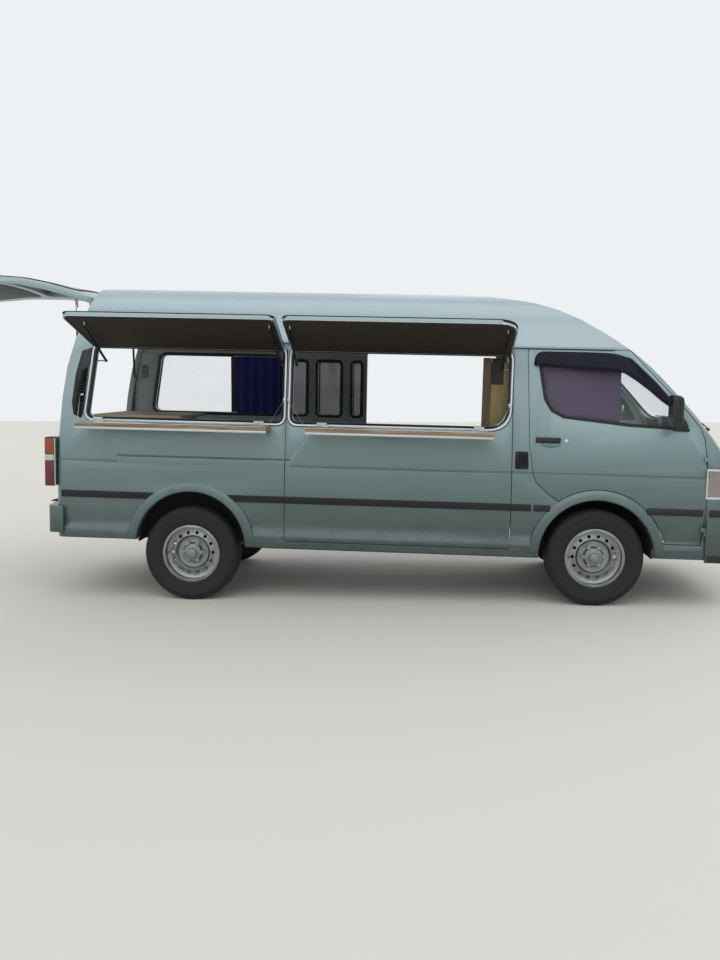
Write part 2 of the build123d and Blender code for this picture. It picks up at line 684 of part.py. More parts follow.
def door_trim(side, door):
    """Mirror on its arm, handle and strips of a front door."""
    base = box(3395, 3475, *sorted((side * 760, side * 835)), 1268, 1340)
    head = box(3325, 3395, *sorted((side * 865, side * 1010)), 1270, 1500)
    head = fillet(head.edges(), 14)
    arm = box(3370, 3420, *sorted((side * 800, side * 900)), 1285, 1325)
    handle = box(2440, 2610, *sorted((side * (skin_y(1165) - 4), side * (skin_y(1165) + 14))), 1146, 1184)
    trim = (base + head + arm + handle) - outer
    for x0, x1 in front_door_strips:
        trim += strip(x0, x1, side)
    return trim - door


door_trim_left = door_trim(1, door_left)
door_trim_right = door_trim(-1, door_right)


# Silver frames round the two hatch openings, and the black vents
def hatch_frame(points):
    ring = opening_prism(points, -1, 22) - opening_prism(points, -1, 4)
    return ring & side_slab(-1, 2.5, 0) & box(-1300, 4100, -900, 0, 1100, 1764)


hatch_frames = hatch_frame(hatch_rear_outline) + hatch_frame(hatch_front_outline)
hatch_frames = hatch_frames - side_panel_right - slide_door_right
vent_panel = opening_prism([(-716, 1745), (-800, 1718), (-845, 1555), (-871, 1345), (-856, 1262),
                            (-800, 1236), (-790, 1262), (-752, 1600)], -1, 0, 8) & side_slab(-1, 4, 0)
vents = vent_panel - hatch_frames
door_vent = [(2303, 1084), (2303, 962), (2398, 962), (2392, 1084)]
for side in (1, -1):
    vents += side_slab(side, 4, 0) & opening_prism(door_vent, side, 0, 10)
vents = vents - side_panel_left - side_panel_right

# Floor pan with its wheel boxes, seat box and chassis rails
rear_well_y = 588.0
front_well_y = 433.0
well_thickness = 8.0
rail_height = 100.0
seat_box = (2380.0, 3130.0, 850.0)
chassis_rail_low = floor_top - floor_thickness - rail_height


def well(arch, inboard, extra):
    """Wheel boxes over both ends of one axle, or their hollows with no extra."""
    x, z, radius = arch
    radius += 5 + extra
    outboard = 900
    inboard -= extra
    ends = drum(x, inboard, outboard, z, radius) + drum(x, -outboard, -inboard, z, radius)
    ends += box(x - radius, x + radius, inboard, outboard, 200, z)
    ends += box(x - radius, x + radius, -outboard, -inboard, 200, z)
    return ends


floor_pan = box(-1300, 3560, -900, 900, floor_top - floor_thickness, floor_top)
floor_pan += box(seat_box[0], seat_box[1], -900, 900, floor_top, seat_box[2])
floor_pan -= box(seat_box[0] + 10, seat_box[1] - 10, -880, 880, 300, seat_box[2] - 10)
for side in (1, -1):
    low, high = sorted((side * 367, side * 423))
    floor_pan += box(-900, 3480, low, high, chassis_rail_low, floor_top - floor_thickness)
for x in (-880, 600, 1500, 2340, 3400):
    floor_pan += box(x, x + 60, -400, 400, chassis_rail_low + 20, floor_top - floor_thickness)
floor_pan += well(rear_arch, rear_well_y, well_thickness) + well(front_arch, front_well_y, well_thickness)
floor_pan -= box(-1400, 4200, -900, 900, 0, 340)
interior = hull(front_wall, wall)
floor_pan = floor_pan & interior
floor_pan -= well(rear_arch, rear_well_y, 0) + well(front_arch, front_well_y, 0)


# Firewall between the floor and the dashboard
firewall = across(make_face(Polyline((3560, 590), (3600, 590), (3700, 900), (3700, 1180), (3680, 1180),
                                     (3680, 900), (3560, 620), close=True)), -900, 900)
firewall = firewall & hull(front_wall, wall)

# Interior
dash_section = make_face(Polyline((3679, 1200), (3679, 905), (3600, 880), (3480, 900), (3400, 1080),
                                  (3420, 1170), (3520, 1215), close=True))
dashboard = across(dash_section, -745, 745) & hull(front_wall, wall)
column = rod((3480, -370, 1050), (3300, -370, 1150), 22)
steering_tilt = (-180, 0, 100)
steering_plane = Plane(origin=(3292, -370, 1155), z_dir=steering_tilt)
steering_wheel = steering_plane * Torus(185, 14)
steering_wheel += steering_plane * Cylinder(45, 30)
for angle in (0, 120, 240):
    steering_wheel += steering_plane * (Rot(0, 0, angle + 90) * (Pos(95, 0, 0) * Box(170, 24, 12)))
steering_wheel += column
steering_wheel -= dashboard


def seat(y0, y1):
    """Cushion, back and head rest of one seat."""
    cushion = fillet(box(2560, 3050, y0, y1, 850, 985).edges(), 30)
    back = across(outline([(2560, 960), (2660, 985), (2520, 1520), (2430, 1500)]), y0, y1)
    back = fillet(back.edges(), 20)
    middle = (y0 + y1) / 2
    rest = fillet(box(2420, 2500, middle - 120, middle + 120, 1530, 1700).edges(), 20)
    stem = rod((2470, middle, 1490), (2470, middle, 1560), 8)
    return cushion + back + rest + stem


seats = seat(-640, -120) + seat(-60, 640)

bench_top = 1262.0
woodwork = box(-728, -90, -765, -40, bench_top - 18, bench_top)
for x in (-640, -170):
    woodwork += box(x, x + 18, -560, -60, floor_top, bench_top - 18)
woodwork += box(-640, -152, -560, -542, 800, bench_top - 18)
cabinet = box(2120, 2300, -730, -250, floor_top, 1700)
cabinet -= box(2100, 2282, -712, -268, floor_top + 18, 1180)
cabinet -= box(2100, 2282, -712, -268, 1198, 1682)
woodwork += cabinet

# Engine, tank, exhaust
engine = box(2440, 3080, -230, 230, 400, 815)
engine += box(2600, 2670, -367, 367, 505, 545)
tank_top = floor_top - floor_thickness
fuel_tank = fillet(box(720, 1480, -355, -60, tank_top - 200, tank_top).edges(), 18)
exhaust = rod((2700, 262, 430), (560, 262, 430), 24)
exhaust += rod((650, 262, 430), (150, 262, 430), 72)
for x in (2300, 700):
    exhaust += box(x, x + 20, 252, 272, 430, tank_top)

# Rear axle with its propeller shaft, drums and stub ends, at wheel level
axle_z = tyre_radius
wheel_y_rear = track_rear / 2
wheel_y_front = track_front / 2
drum_radius = 138.0
disc_radius = 92.0
rear_axle = drum(0, -(wheel_y_rear - 60), wheel_y_rear - 60, axle_z, 42)
rear_axle += Pos(0, 0, axle_z) * Sphere(135)
rear_axle += rod((120, 0, axle_z), (2380, 0, 470), 34)
for side in (1, -1):
    low, high = sorted((side * (wheel_y_rear - 75), side * (wheel_y_rear - 15)))
    rear_axle += drum(0, low, high, axle_z, drum_radius)
    low, high = sorted((side * (wheel_y_rear - 20), side * (wheel_y_rear + 40)))
    rear_axle += drum(0, low, high, axle_z, stub_radius)

spring_y = 530.0
spring_radius = 2900.0


def spring(side):
    """Leaf pack of three leaves, bowed down to the axle, with its hangers."""
    pack = None
    for number, half in enumerate((620, 460, 300)):
        z = axle_z + 58 - number * 13
        centre = z + spring_radius
        ends = centre - sqrt(spring_radius ** 2 - half ** 2)
        inner_r = spring_radius - 12
        inner_ends = centre - sqrt(inner_r ** 2 - half ** 2)
        face = make_face([ThreePointArc((-half, ends), (0, z), (half, ends)),
                          Line((half, ends), (half, inner_ends)),
                          ThreePointArc((half, inner_ends), (0, z + 12), (-half, inner_ends)),
                          Line((-half, inner_ends), (-half, ends))])
        leaf = across(face, side * spring_y - 30, side * spring_y + 30)
        pack = leaf if pack is None else pack + leaf
    low, high = sorted((side * (spring_y - 34), side * (spring_y + 34)))
    for x in (-640, 640):
        pack += box(x - 25, x + 25, low, high, axle_z + 100, axle_z + 330)
    return pack + box(-50, 50, low, high, axle_z + 30, axle_z + 80)


tilt_axis = Axis((wheelbase, 0, tyre_radius), (0, 1, 0))


def raked(shape):
    return shape.rotate(tilt_axis, body_rake)


raked_floor = raked(floor_pan)
leaf_springs = (spring(1) + spring(-1)) - rear_axle - raked_floor

# Front suspension arms and struts, and the knuckles that carry the front wheels
arm_low = axle_z - 110.0


def suspension(side):
    """Lower and upper arm of one front wheel, out to the kingpin."""
    s = side
    x = wheelbase
    lower_arm = extrude(Plane.XY * Pos(0, 0, arm_low - 12) * make_face(Polyline(
        (x - 25, s * (kingpin_y + 20)), (x + 25, s * (kingpin_y + 20)), (x + 130, s * 440),
        (x + 130, s * 380), (x - 130, s * 380), (x - 130, s * 440), close=True)), amount=24)
    upper = extrude(Plane.XY * Pos(0, 0, axle_z + 98) * make_face(Polyline(
        (x - 22, s * (kingpin_y + 20)), (x + 22, s * (kingpin_y + 20)), (x + 90, s * 440),
        (x + 90, s * 400), (x - 90, s * 400), (x - 90, s * 440), close=True)), amount=20)
    post = box(x - 110, x + 110, *sorted((s * 368, s * 422)), arm_low - 12, axle_z + 180)
    pin = rod((x, s * kingpin_y, arm_low - 30), (x, s * kingpin_y, arm_low + 40), 11)
    pin += rod((x, s * kingpin_y, axle_z + 60), (x, s * kingpin_y, axle_z + 130), 11)
    return lower_arm + upper + post + pin


front_suspension = suspension(1) + suspension(-1)
front_suspension += box(wheelbase - 50, wheelbase + 50, -400, 400, arm_low - 12, arm_low + 50)
front_suspension -= raked_floor


def knuckle(side):
    """Upright on its kingpin, with the brake disc and the stub that the wheel turns on."""
    s = side
    x = wheelbase
    body = rod((x, s * kingpin_y, arm_low + 18), (x, s * kingpin_y, axle_z + 90), 26)
    body -= rod((x, s * kingpin_y, 0), (x, s * kingpin_y, 900), 11 + running_clearance)
    body += drum(x, *sorted((s * (kingpin_y + 14), s * (wheel_y_front + 40))), axle_z, stub_radius)
    body += drum(x, *sorted((s * (wheel_y_front - 35), s * (wheel_y_front - 15))), axle_z, disc_radius)
    for low, high in ((arm_low - 30, arm_low + 41), (axle_z + 59, axle_z + 131)):
        body -= rod((x, s * kingpin_y, low), (x, s * kingpin_y, high), 12)
    return body


knuckle_left = knuckle(1)
knuckle_right = knuckle(-1)


# Wheels, turned about Y with the outer face at +Y
def wheel():
    """Rim with its ring of round holes, and tyre."""
    half = rim_width / 2
    flange = rim_flange_radius
    seat_r = rim_seat_radius
    rim_points = [(seat_r - 9, -half), (flange, -half), (flange, -half + 6), (seat_r, -half + 9),
                  (seat_r, half - 9), (flange, half - 6), (flange, half), (seat_r - 9, half),
                  (seat_r - 9, 30), (165, 22), (128, 34), (110, 14), (75, 14), (62, 46), (0, 52),
                  (0, 42), (stub_radius + running_clearance, 42), (stub_radius + running_clearance, -12),
                  (110, 4), (128, 24), (165, 12), (seat_r - 9, 14)]
    rim = revolve(Plane.XY * make_face(Polyline(*rim_points, close=True)), Axis.Y)
    for number in range(14):
        a = radians(number * 360 / 14)
        rim -= rod((148 * cos(a), 0, 148 * sin(a)), (148 * cos(a), 60, 148 * sin(a)), 12)
    side_y = tyre_width / 2
    tyre_edges = [Line((seat_r, -half + 9), (seat_r, half - 9)),
                  Line((seat_r, half - 9), (flange + 1, half - 5)),
                  ThreePointArc((flange + 1, half - 5), (268, side_y), (326, side_y - 14)),
                  ThreePointArc((326, side_y - 14), (338, side_y - 20), (tyre_radius, side_y - 34)),
                  Line((tyre_radius, side_y - 34), (tyre_radius, -side_y + 34)),
                  ThreePointArc((tyre_radius, -side_y + 34), (338, -side_y + 20), (326, -side_y + 14)),
                  ThreePointArc((326, -side_y + 14), (268, -side_y), (flange + 1, -half + 5)),
                  Line((flange + 1, -half + 5), (seat_r, -half + 9))]
    tyre = revolve(Plane.XY * make_face(tyre_edges), Axis.Y)
    return rim, tyre - rim


rim_blank, tyre_blank = wheel()
wheel_places = {"front_left": (wheelbase, wheel_y_front, 0), "front_right": (wheelbase, -wheel_y_front, 180),
                "rear_left": (0, wheel_y_rear, 0), "rear_right": (0, -wheel_y_rear, 180)}

sprung = {
    "floor_pan": floor_pan, "side_panel_right": side_panel_right, "side_panel_left": side_panel_left,
    "roof": roof, "nose": nose + firewall, "windscreen": windscreen, "side_glass": side_glass,
    "slide_door_right": slide_door_right, "slide_door_left": slide_door_left, "lamps": lamps,
    "grille": grille_piece, "bumper_front": bumper_front, "bumper_rear": bumper_rear,
    "side_strips": side_strips, "hatch_frames": hatch_frames, "vents": vents, "dashboard": dashboard,
    "steering_wheel": steering_wheel, "seats": seats, "woodwork": woodwork, "engine": engine,
    "fuel_tank": fuel_tank, "exhaust": exhaust,
    "door_left": door_left, "door_right": door_right, "door_glass_left": door_glass_left,
    "door_glass_right": door_glass_right, "door_trim_left": door_trim_left,
    "door_trim_right": door_trim_right, "tailgate": tailgate, "tailgate_glass": tailgate_glass,
    "tailgate_tubes": tailgate_tubes, "tailgate_rods": tailgate_rods, "hatch_rear": hatch_rear,
    "hatch_rear_tubes": rear_tubes, "hatch_rear_rods": rear_rods, "hatch_front": hatch_front,
    "hatch_front_tubes": front_tubes, "hatch_front_rods": front_rods, "counter_rear": counter_rear,
    "counter_front": counter_front}
nodes = {name: raked(shape) for name, shape in sprung.items()}
nodes["rear_axle"] = rear_axle - raked(engine)
nodes["leaf_springs"] = leaf_springs
nodes["front_suspension"] = front_suspension
nodes["knuckle_left"] = knuckle_left
nodes["knuckle_right"] = knuckle_right
for name, (x, y, turn) in wheel_places.items():
    nodes["rim_" + name] = Pos(x, y, axle_z) * Rot(0, 0, turn) * rim_blank
    nodes["tyre_" + name] = Pos(x, y, axle_z) * Rot(0, 0, turn) * tyre_blank

# Move the origin under the centre of the box round the open van
limits = [shape.bounding_box() for shape in nodes.values()]
middle_x = (min(one.min.X for one in limits) + max(one.max.X for one in limits)) / 2
middle_y = (min(one.min.Y for one in limits) + max(one.max.Y for one in limits)) / 2
for name, shape in nodes.items():
    export_step(Pos(-middle_x, -middle_y, 0) * shape, f"parts/{name}.step")
print(len(nodes), "nodes moved by", -middle_x, -middle_y)
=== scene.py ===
import json
from math import atan2, cos, hypot, pi, radians, sin, sqrt

import bpy
from mathutils import Matrix, Vector


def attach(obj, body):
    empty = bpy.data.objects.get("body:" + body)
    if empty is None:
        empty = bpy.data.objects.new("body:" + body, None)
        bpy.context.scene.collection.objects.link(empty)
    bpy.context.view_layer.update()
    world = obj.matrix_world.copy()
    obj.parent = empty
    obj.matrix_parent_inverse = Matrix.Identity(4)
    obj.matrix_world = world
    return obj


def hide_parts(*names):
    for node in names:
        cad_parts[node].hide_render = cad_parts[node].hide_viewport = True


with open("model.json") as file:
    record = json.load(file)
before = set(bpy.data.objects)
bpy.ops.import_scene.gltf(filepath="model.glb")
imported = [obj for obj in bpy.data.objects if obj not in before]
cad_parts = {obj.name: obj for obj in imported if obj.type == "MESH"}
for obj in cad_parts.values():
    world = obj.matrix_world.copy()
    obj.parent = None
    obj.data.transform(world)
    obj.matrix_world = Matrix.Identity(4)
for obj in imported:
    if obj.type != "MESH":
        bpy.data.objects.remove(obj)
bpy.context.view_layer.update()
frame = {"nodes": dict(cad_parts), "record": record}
nodes = frame["nodes"]
print("frame loaded with", len(nodes), "nodes")

# The body leans nose-down about the front axle, then moves to the middle of the open van's box.
# Pieces are drawn level, with X from the rear axle, and placed at the end.
chassis = {"wheelbase": 2.89, "frontTrack": 0.725, "rearTrack": 0.715, "axleHeight": 0.343, "lean": 1.41,
           "move": (-0.8328904, 0.1339489, 0.0), "creaseY": 0.841, "creaseZ": 0.937, "gutterY": 0.772,
           "gutterZ": 1.812, "hatchHinge": 1.766, "hatchSwing": 107.1911, "tailHinge": (-0.758478, 2.132),
           "tailRaised": 83.2, "slideOut": 0.074}


def turnAbout(point, axis, degrees):
    point = Vector(point)
    return Matrix.Translation(point) @ Matrix.Rotation(radians(degrees), 4, axis) @ Matrix.Translation(-point)


def skinY(z):  # half width of the leaning side wall at a height
    share = (z - chassis["creaseZ"]) / (chassis["gutterZ"] - chassis["creaseZ"])
    return chassis["creaseY"] + (chassis["gutterY"] - chassis["creaseY"]) * share


levelPlace = Matrix.Translation(chassis["move"])
bodyPlace = levelPlace @ turnAbout((chassis["wheelbase"], 0, chassis["axleHeight"]), "Y", chassis["lean"])
hatchAxis = (0, -skinY(chassis["hatchHinge"]), chassis["hatchHinge"])
hatchPlace = bodyPlace @ turnAbout(hatchAxis, "X", -chassis["hatchSwing"])
tailAxis = (chassis["tailHinge"][0], 0, chassis["tailHinge"][1])
tailPlace = bodyPlace @ turnAbout(tailAxis, "Y", chassis["tailRaised"])
leftSide, rightSide = 1, -1
weld = {"cad": 0.00002, "spun": 0.0001, "drawn": 0.000005}  # how close two points are merged, in metres


def hexColour(code):  # sRGB hex to the linear colour a node takes
    channels = [int(code[i:i + 2], 16) / 255 for i in (1, 3, 5)]
    return [c / 12.92 if c <= 0.04045 else ((c + 0.055) / 1.055) ** 2.4 for c in channels] + [1.0]


def feed(material, node, sources):  # link other nodes' outputs into a node's sockets
    for socket, source in sources.items():
        material.node_tree.links.new(source, node.inputs[socket])
    return material


def addNode(material, kind, settings=None, links=None):
    node = material.node_tree.nodes.new("ShaderNode" + kind)
    for name, value in (settings or {}).items():
        if isinstance(name, int) or name in node.inputs:
            node.inputs[name].default_value = value
        else:
            setattr(node, name, value)
    feed(material, node, links or {})
    return node


def startMaterial(name, settings):
    material = bpy.data.materials.new(name)
    material.use_nodes = True
    shader = material.node_tree.nodes["Principled BSDF"]
    for socket, value in settings.items():
        shader.inputs[socket].default_value = value
    return material, shader


def deselectAll():
    if bpy.context.mode != "OBJECT":
        bpy.ops.object.mode_set(mode="OBJECT")
    bpy.ops.object.select_all(action="DESELECT")


def takeUp(piece):  # the one piece selected and active
    deselectAll()
    piece.select_set(True)
    bpy.context.view_layer.objects.active = piece
    return piece


def runModifier(piece, kind, **settings):
    takeUp(piece)
    modifier = piece.modifiers.new(kind.title(), kind)
    for name, value in settings.items():
        setattr(modifier, name, value)
    bpy.ops.object.modifier_apply(modifier=modifier.name)
    return piece


def settle(piece, place):  # move the mesh itself, so that the object stays at the origin
    takeUp(piece)
    piece.matrix_world = place @ piece.matrix_world
    bpy.ops.object.transform_apply(location=True, rotation=True, scale=True)
    if place.is_negative:
        bpy.ops.object.mode_set(mode="EDIT")
        bpy.ops.mesh.select_all(action="SELECT")
        bpy.ops.mesh.flip_normals()
        bpy.ops.object.mode_set(mode="OBJECT")
    return piece


def handOver(piece, name, material, body, stands=(), smooth=30):
    takeUp(piece)
    piece.name = name
    piece.data.materials.clear()
    piece.data.materials.append(material)
    if smooth:
        bpy.ops.object.shade_smooth_by_angle(angle=radians(smooth))
    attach(piece, body)
    if stands:
        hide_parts(*stands)
    return piece


def joinUp(pieces):
    deselectAll()
    for piece in pieces:
        piece.select_set(True)
    bpy.context.view_layer.objects.active = pieces[0]
    bpy.ops.object.join()
    return pieces[0]


def cleanMesh(piece, distance):  # doubled points merged, all faces turned outwards
    takeUp(piece)
    bpy.ops.object.mode_set(mode="EDIT")
    bpy.ops.mesh.select_all(action="SELECT")
    bpy.ops.mesh.remove_doubles(threshold=distance)
    bpy.ops.mesh.normals_make_consistent(inside=False)
    bpy.ops.object.mode_set(mode="OBJECT")
    return piece


def slab(low, high, bevel=0.0, segments=2):  # block between two corners with rounded edges
    size = [b - a for a, b in zip(low, high)]
    middle = [(a + b) / 2 for a, b in zip(low, high)]
    deselectAll()
    bpy.ops.mesh.primitive_cube_add(size=1, location=middle)
    piece = bpy.context.active_object
    piece.scale = size
    bpy.ops.object.transform_apply(location=True, rotation=True, scale=True)
    if bevel:
        runModifier(piece, "BEVEL", width=bevel, segments=segments, limit_method="ANGLE")
    return piece


def bar(start, end, radius, sides=16, bevel=0.0):  # round bar between two points
    start, end = Vector(start), Vector(end)
    deselectAll()
    bpy.ops.mesh.primitive_cylinder_add(vertices=sides, radius=radius, depth=(end - start).length)
    piece = bpy.context.active_object
    turned = (end - start).to_track_quat("Z", "Y").to_matrix().to_4x4()
    piece.matrix_world = Matrix.Translation((start + end) / 2) @ turned
    bpy.ops.object.transform_apply(location=True, rotation=True, scale=True)
    if bevel:
        runModifier(piece, "BEVEL", width=bevel, segments=2, limit_method="ANGLE")
    return piece


def roundedLoop(points, radius, steps=6):  # closed outline with rounded corners, one radius or one for each
    loop = []
    count = len(points)
    radii = radius if isinstance(radius, list) else [radius] * count
    for i in range(count):
        a, b, c = Vector(points[i - 1]), Vector(points[i]), Vector(points[(i + 1) % count])
        back, on = (a - b).normalized(), (c - b).normalized()
        half = back.angle(on) / 2
        reach = min(radii[i] / max(0.05, sin(half) / cos(half)), (a - b).length * 0.49, (c - b).length * 0.49)
        start, end = b + back * reach, b + on * reach
        for k in range(steps + 1):
            t = k / steps
            loop.append((1 - t) ** 2 * start + 2 * t * (1 - t) * b + t ** 2 * end)
    return loop


def tube(points, radius, closed=True):  # round section along a line
    curve = bpy.data.curves.new("line", "CURVE")
    curve.dimensions = "3D"
    spline = curve.splines.new("POLY")
    spline.points.add(len(points) - 1)
    for place, point in zip(spline.points, points):
        place.co = (*point, 1)
    spline.use_cyclic_u = closed
    curve.bevel_depth = radius
    curve.bevel_resolution = 3
    curve.use_fill_caps = not closed
    piece = bpy.data.objects.new("line", curve)
    bpy.context.scene.collection.objects.link(piece)
    takeUp(piece)
    bpy.ops.object.convert(target="MESH")
    return bpy.context.active_object


def spun(profile, steps, closed=True):  # closed or open profile turned about the Y axis
    deselectAll()
    bpy.ops.mesh.primitive_circle_add(vertices=len(profile), radius=1)
    piece = bpy.context.active_object
    for vertex, point in zip(piece.data.vertices, profile):
        vertex.co = point
    if not closed:
        bpy.ops.object.mode_set(mode="EDIT")
        bpy.ops.mesh.select_all(action="DESELECT")
        bpy.ops.object.mode_set(mode="OBJECT")
        last = len(profile) - 1
        for edge in piece.data.edges:
            edge.select = set(edge.vertices) == {0, last}
        bpy.ops.object.mode_set(mode="EDIT")
        bpy.ops.mesh.select_mode(type="EDGE")
        bpy.ops.mesh.delete(type="EDGE")
        bpy.ops.object.mode_set(mode="OBJECT")
    bpy.ops.object.mode_set(mode="EDIT")
    bpy.ops.mesh.select_mode(type="VERT")
    bpy.ops.mesh.select_all(action="SELECT")
    bpy.ops.mesh.spin(steps=steps, angle=2 * pi, center=(0, 0, 0), axis=(0, 1, 0))
    return cleanMesh(piece, weld["spun"])


def copyOf(piece):
    twin = piece.copy()
    twin.data = piece.data.copy()
    bpy.context.scene.collection.objects.link(twin)
    return twin


# Camera at the photograph's own place, fitted to the wheels, sills and roof line
camera = {"place": (1.668, -7.2202, 1.5743), "yaw": 3.887, "pitch": 6.087, "roll": -0.071,
          "focalPixels": 909.18, "imageHeight": 960, "sensor": 36.0, "farthest": 200}
yaw, pitch, roll = (radians(camera[key]) for key in ("yaw", "pitch", "roll"))
ahead = Vector((-sin(yaw) * cos(pitch), cos(yaw) * cos(pitch), -sin(pitch)))
rightward = Vector((cos(yaw), sin(yaw), 0))
upward = rightward.cross(ahead)
lensRight = rightward * cos(roll) + upward * sin(roll)
lensUp = upward * cos(roll) - rightward * sin(roll)
deselectAll()
bpy.ops.object.camera_add()
lookout = bpy.context.active_object
turn = Matrix((lensRight, lensUp, -ahead)).transposed().to_4x4()
lookout.matrix_world = Matrix.Translation(levelPlace @ Vector(camera["place"])) @ turn
lookout.data.sensor_width = camera["sensor"]
lookout.data.lens = camera["focalPixels"] * camera["sensor"] / camera["imageHeight"]
lookout.data.clip_end = camera["farthest"]
bpy.context.scene.camera = lookout
bpy.context.scene.view_settings.view_transform = "Standard"

# Pale floor, open sky and two soft lamps
studio = {"floorSize": 60, "floor": "#dcdad4", "floorTints": ("#d6d4ce", "#e2e0da"), "sky": "#eef1f4",
          "skyLight": 0.72, "ground": "#8f9794", "horizon": "#c3cbcf", "horizonAt": 0.3, "zenith": "#ffffff",
          "sunPower": 1.1, "sunSpread": 80, "sunTilt": (38, 12, -24),
          "fillPower": 0.4, "fillSpread": 60, "fillTilt": (62, 0, 150)}
deselectAll()
bpy.ops.mesh.primitive_plane_add(size=studio["floorSize"])
floor = bpy.context.active_object
floor.name = "floor"
# Matte paint in two close greys, so that the floor is no flat plane of one colour
floorPaint, shader = startMaterial("matte floor paint", {"Base Color": hexColour(studio["floor"]),
                                                         "Roughness": 0.85})
grit = addNode(floorPaint, "TexNoise", {"Scale": 3.0, "Detail": 6})
tint = addNode(floorPaint, "ValToRGB", links={"Fac": grit.outputs["Fac"]})
for element, colour in zip(tint.color_ramp.elements, studio["floorTints"]):
    element.color = hexColour(colour)
feed(floorPaint, shader, {"Base Color": tint.outputs["Color"]})
floor.data.materials.append(floorPaint)
for power, tilt, spread in ((studio["sunPower"], studio["sunTilt"], studio["sunSpread"]),
                            (studio["fillPower"], studio["fillTilt"], studio["fillSpread"])):
    bpy.ops.object.light_add(type="SUN", rotation=[radians(a) for a in tilt])
    lamp = bpy.context.active_object
    lamp.data.energy = power
    lamp.data.angle = radians(spread)
# The sky lights the van from a grey ground to a white zenith, and shows as one pale colour to the camera
world = bpy.data.worlds.new("openSky")
bpy.context.scene.world = world
world.use_nodes = True
sky = world.node_tree.nodes["Background"]
sky.inputs["Strength"].default_value = studio["skyLight"]
direction = addNode(world, "TexCoord")
split = addNode(world, "SeparateXYZ", links={0: direction.outputs["Generated"]})
height = addNode(world, "MapRange", {"From Min": -0.25, "From Max": 0.7}, {"Value": split.outputs["Z"]})
shade = addNode(world, "ValToRGB", links={"Fac": height.outputs["Result"]})
shade.color_ramp.elements[0].color = hexColour(studio["ground"])
shade.color_ramp.elements[1].color = hexColour(studio["zenith"])
shade.color_ramp.elements.new(studio["horizonAt"]).color = hexColour(studio["horizon"])
feed(world, sky, {"Color": shade.outputs["Color"]})
seen = addNode(world, "Background", {"Color": hexColour(studio["sky"]), "Strength": 1.0})
path = addNode(world, "LightPath")
mirrored = addNode(world, "Math", {"operation": "MAXIMUM"},
                   {0: path.outputs["Is Glossy Ray"], 1: path.outputs["Is Transmission Ray"]})
shown = addNode(world, "Math", {"operation": "MAXIMUM"},
                {0: path.outputs["Is Camera Ray"], 1: mirrored.outputs[0]})
mixed = addNode(world, "MixShader", links={0: shown.outputs[0], 1: sky.outputs[0], 2: seen.outputs[0]})
feed(world, world.node_tree.nodes["World Output"], {"Surface": mixed.outputs[0]})
print("camera and stage")


def paintFinish(name, colours):
    # Two-coat metallic car paint: fine flake under clear lacquer, with painted shade that deepens the colour
    # from the shoulders down and a painted shadow and ground reflection low down
    material, shader = startMaterial(name, {"Metallic": colours.get("metallic", 0.3), "Roughness": 0.42,
                                            "Coat Weight": 0.5, "Coat Roughness": 0.12})
    place = addNode(material, "TexCoord").outputs["Object"]
    height = addNode(material, "SeparateXYZ", links={0: place})
    # Painted shade: the colour goes from light high up to deep below the shoulders, with a little noise
    paintedShadeFall = addNode(material, "MapRange", {"From Min": 1.5, "From Max": 0.92}, {"Value": height.outputs["Z"]})
    drift = addNode(material, "TexNoise", {"Scale": 2.2, "Detail": 4}, {"Vector": place})
    patchyShade = addNode(material, "Mix", {0: 0.18}, {2: paintedShadeFall.outputs["Result"], 3: drift.outputs["Fac"]})
    body = addNode(material, "Mix", {"data_type": "RGBA", 6: hexColour(colours["light"]),
                                               7: hexColour(colours["deep"])}, {0: patchyShade.outputs[0]})
    # Painted shadow and reflection of the dark ground towards the sills: the low colour mixed in up to the
    # film share, broken up by noise
    low = addNode(material, "MapRange",
                  {"From Min": 0.98, "From Max": 0.42, "To Max": colours["film"]},
                  {"Value": height.outputs["Z"]})
    cloud = addNode(material, "TexNoise", {"Scale": 9.0, "Detail": 8, "Roughness": 0.7}, {"Vector": place})
    shadeMottle = addNode(material, "MapRange",
                     {"From Min": 0.3, "From Max": 0.7, "To Min": 0.78, "To Max": 1.0},
                     {"Value": cloud.outputs["Fac"]})
    film = addNode(material, "Math", {"operation": "MULTIPLY"},
                   {0: low.outputs["Result"], 1: shadeMottle.outputs["Result"]})
    coat = addNode(material, "Mix", {"data_type": "RGBA", 7: hexColour(colours["low"])},
                   {0: film.outputs[0], 6: body.outputs[2]})
    # 1.4 mm, so it shows
    flake = addNode(material, "TexVoronoi", {"Scale": 700.0}, {"Vector": place})
    sparkle = addNode(material, "Mix", {"data_type": "RGBA", "blend_type": "SOFT_LIGHT", 0: 0.12},
                      {6: coat.outputs[2], 7: flake.outputs["Color"]})
    gloss = addNode(material, "MapRange", {"To Min": 0.32, "To Max": 0.55}, {"Value": cloud.outputs["Fac"]})
    return feed(material, shader, {"Base Color": sparkle.outputs[2], "Roughness": gloss.outputs["Result"]})


def mouldedFinish(name, colour, grain, roughness=0.55, scale=900.0):
    # Grained moulding with worn, greyer places
    material, shader = startMaterial(name, {"Roughness": roughness})
    place = addNode(material, "TexCoord").outputs["Object"]
    wear = addNode(material, "TexNoise", {"Scale": 14.0, "Detail": 6}, {"Vector": place})
    tone = addNode(material, "Mix",
                   {"data_type": "RGBA", 6: hexColour(colour[0]), 7: hexColour(colour[1])},
                   {0: wear.outputs["Fac"]})
    pits = addNode(material, "TexVoronoi", {"Scale": scale}, {"Vector": place})
    relief = addNode(material, "Bump", {"Strength": grain, "Distance": 0.001},
                     {"Height": pits.outputs["Distance"]})
    return feed(material, shader, {"Base Color": tone.outputs[2], "Normal": relief.outputs[0]})


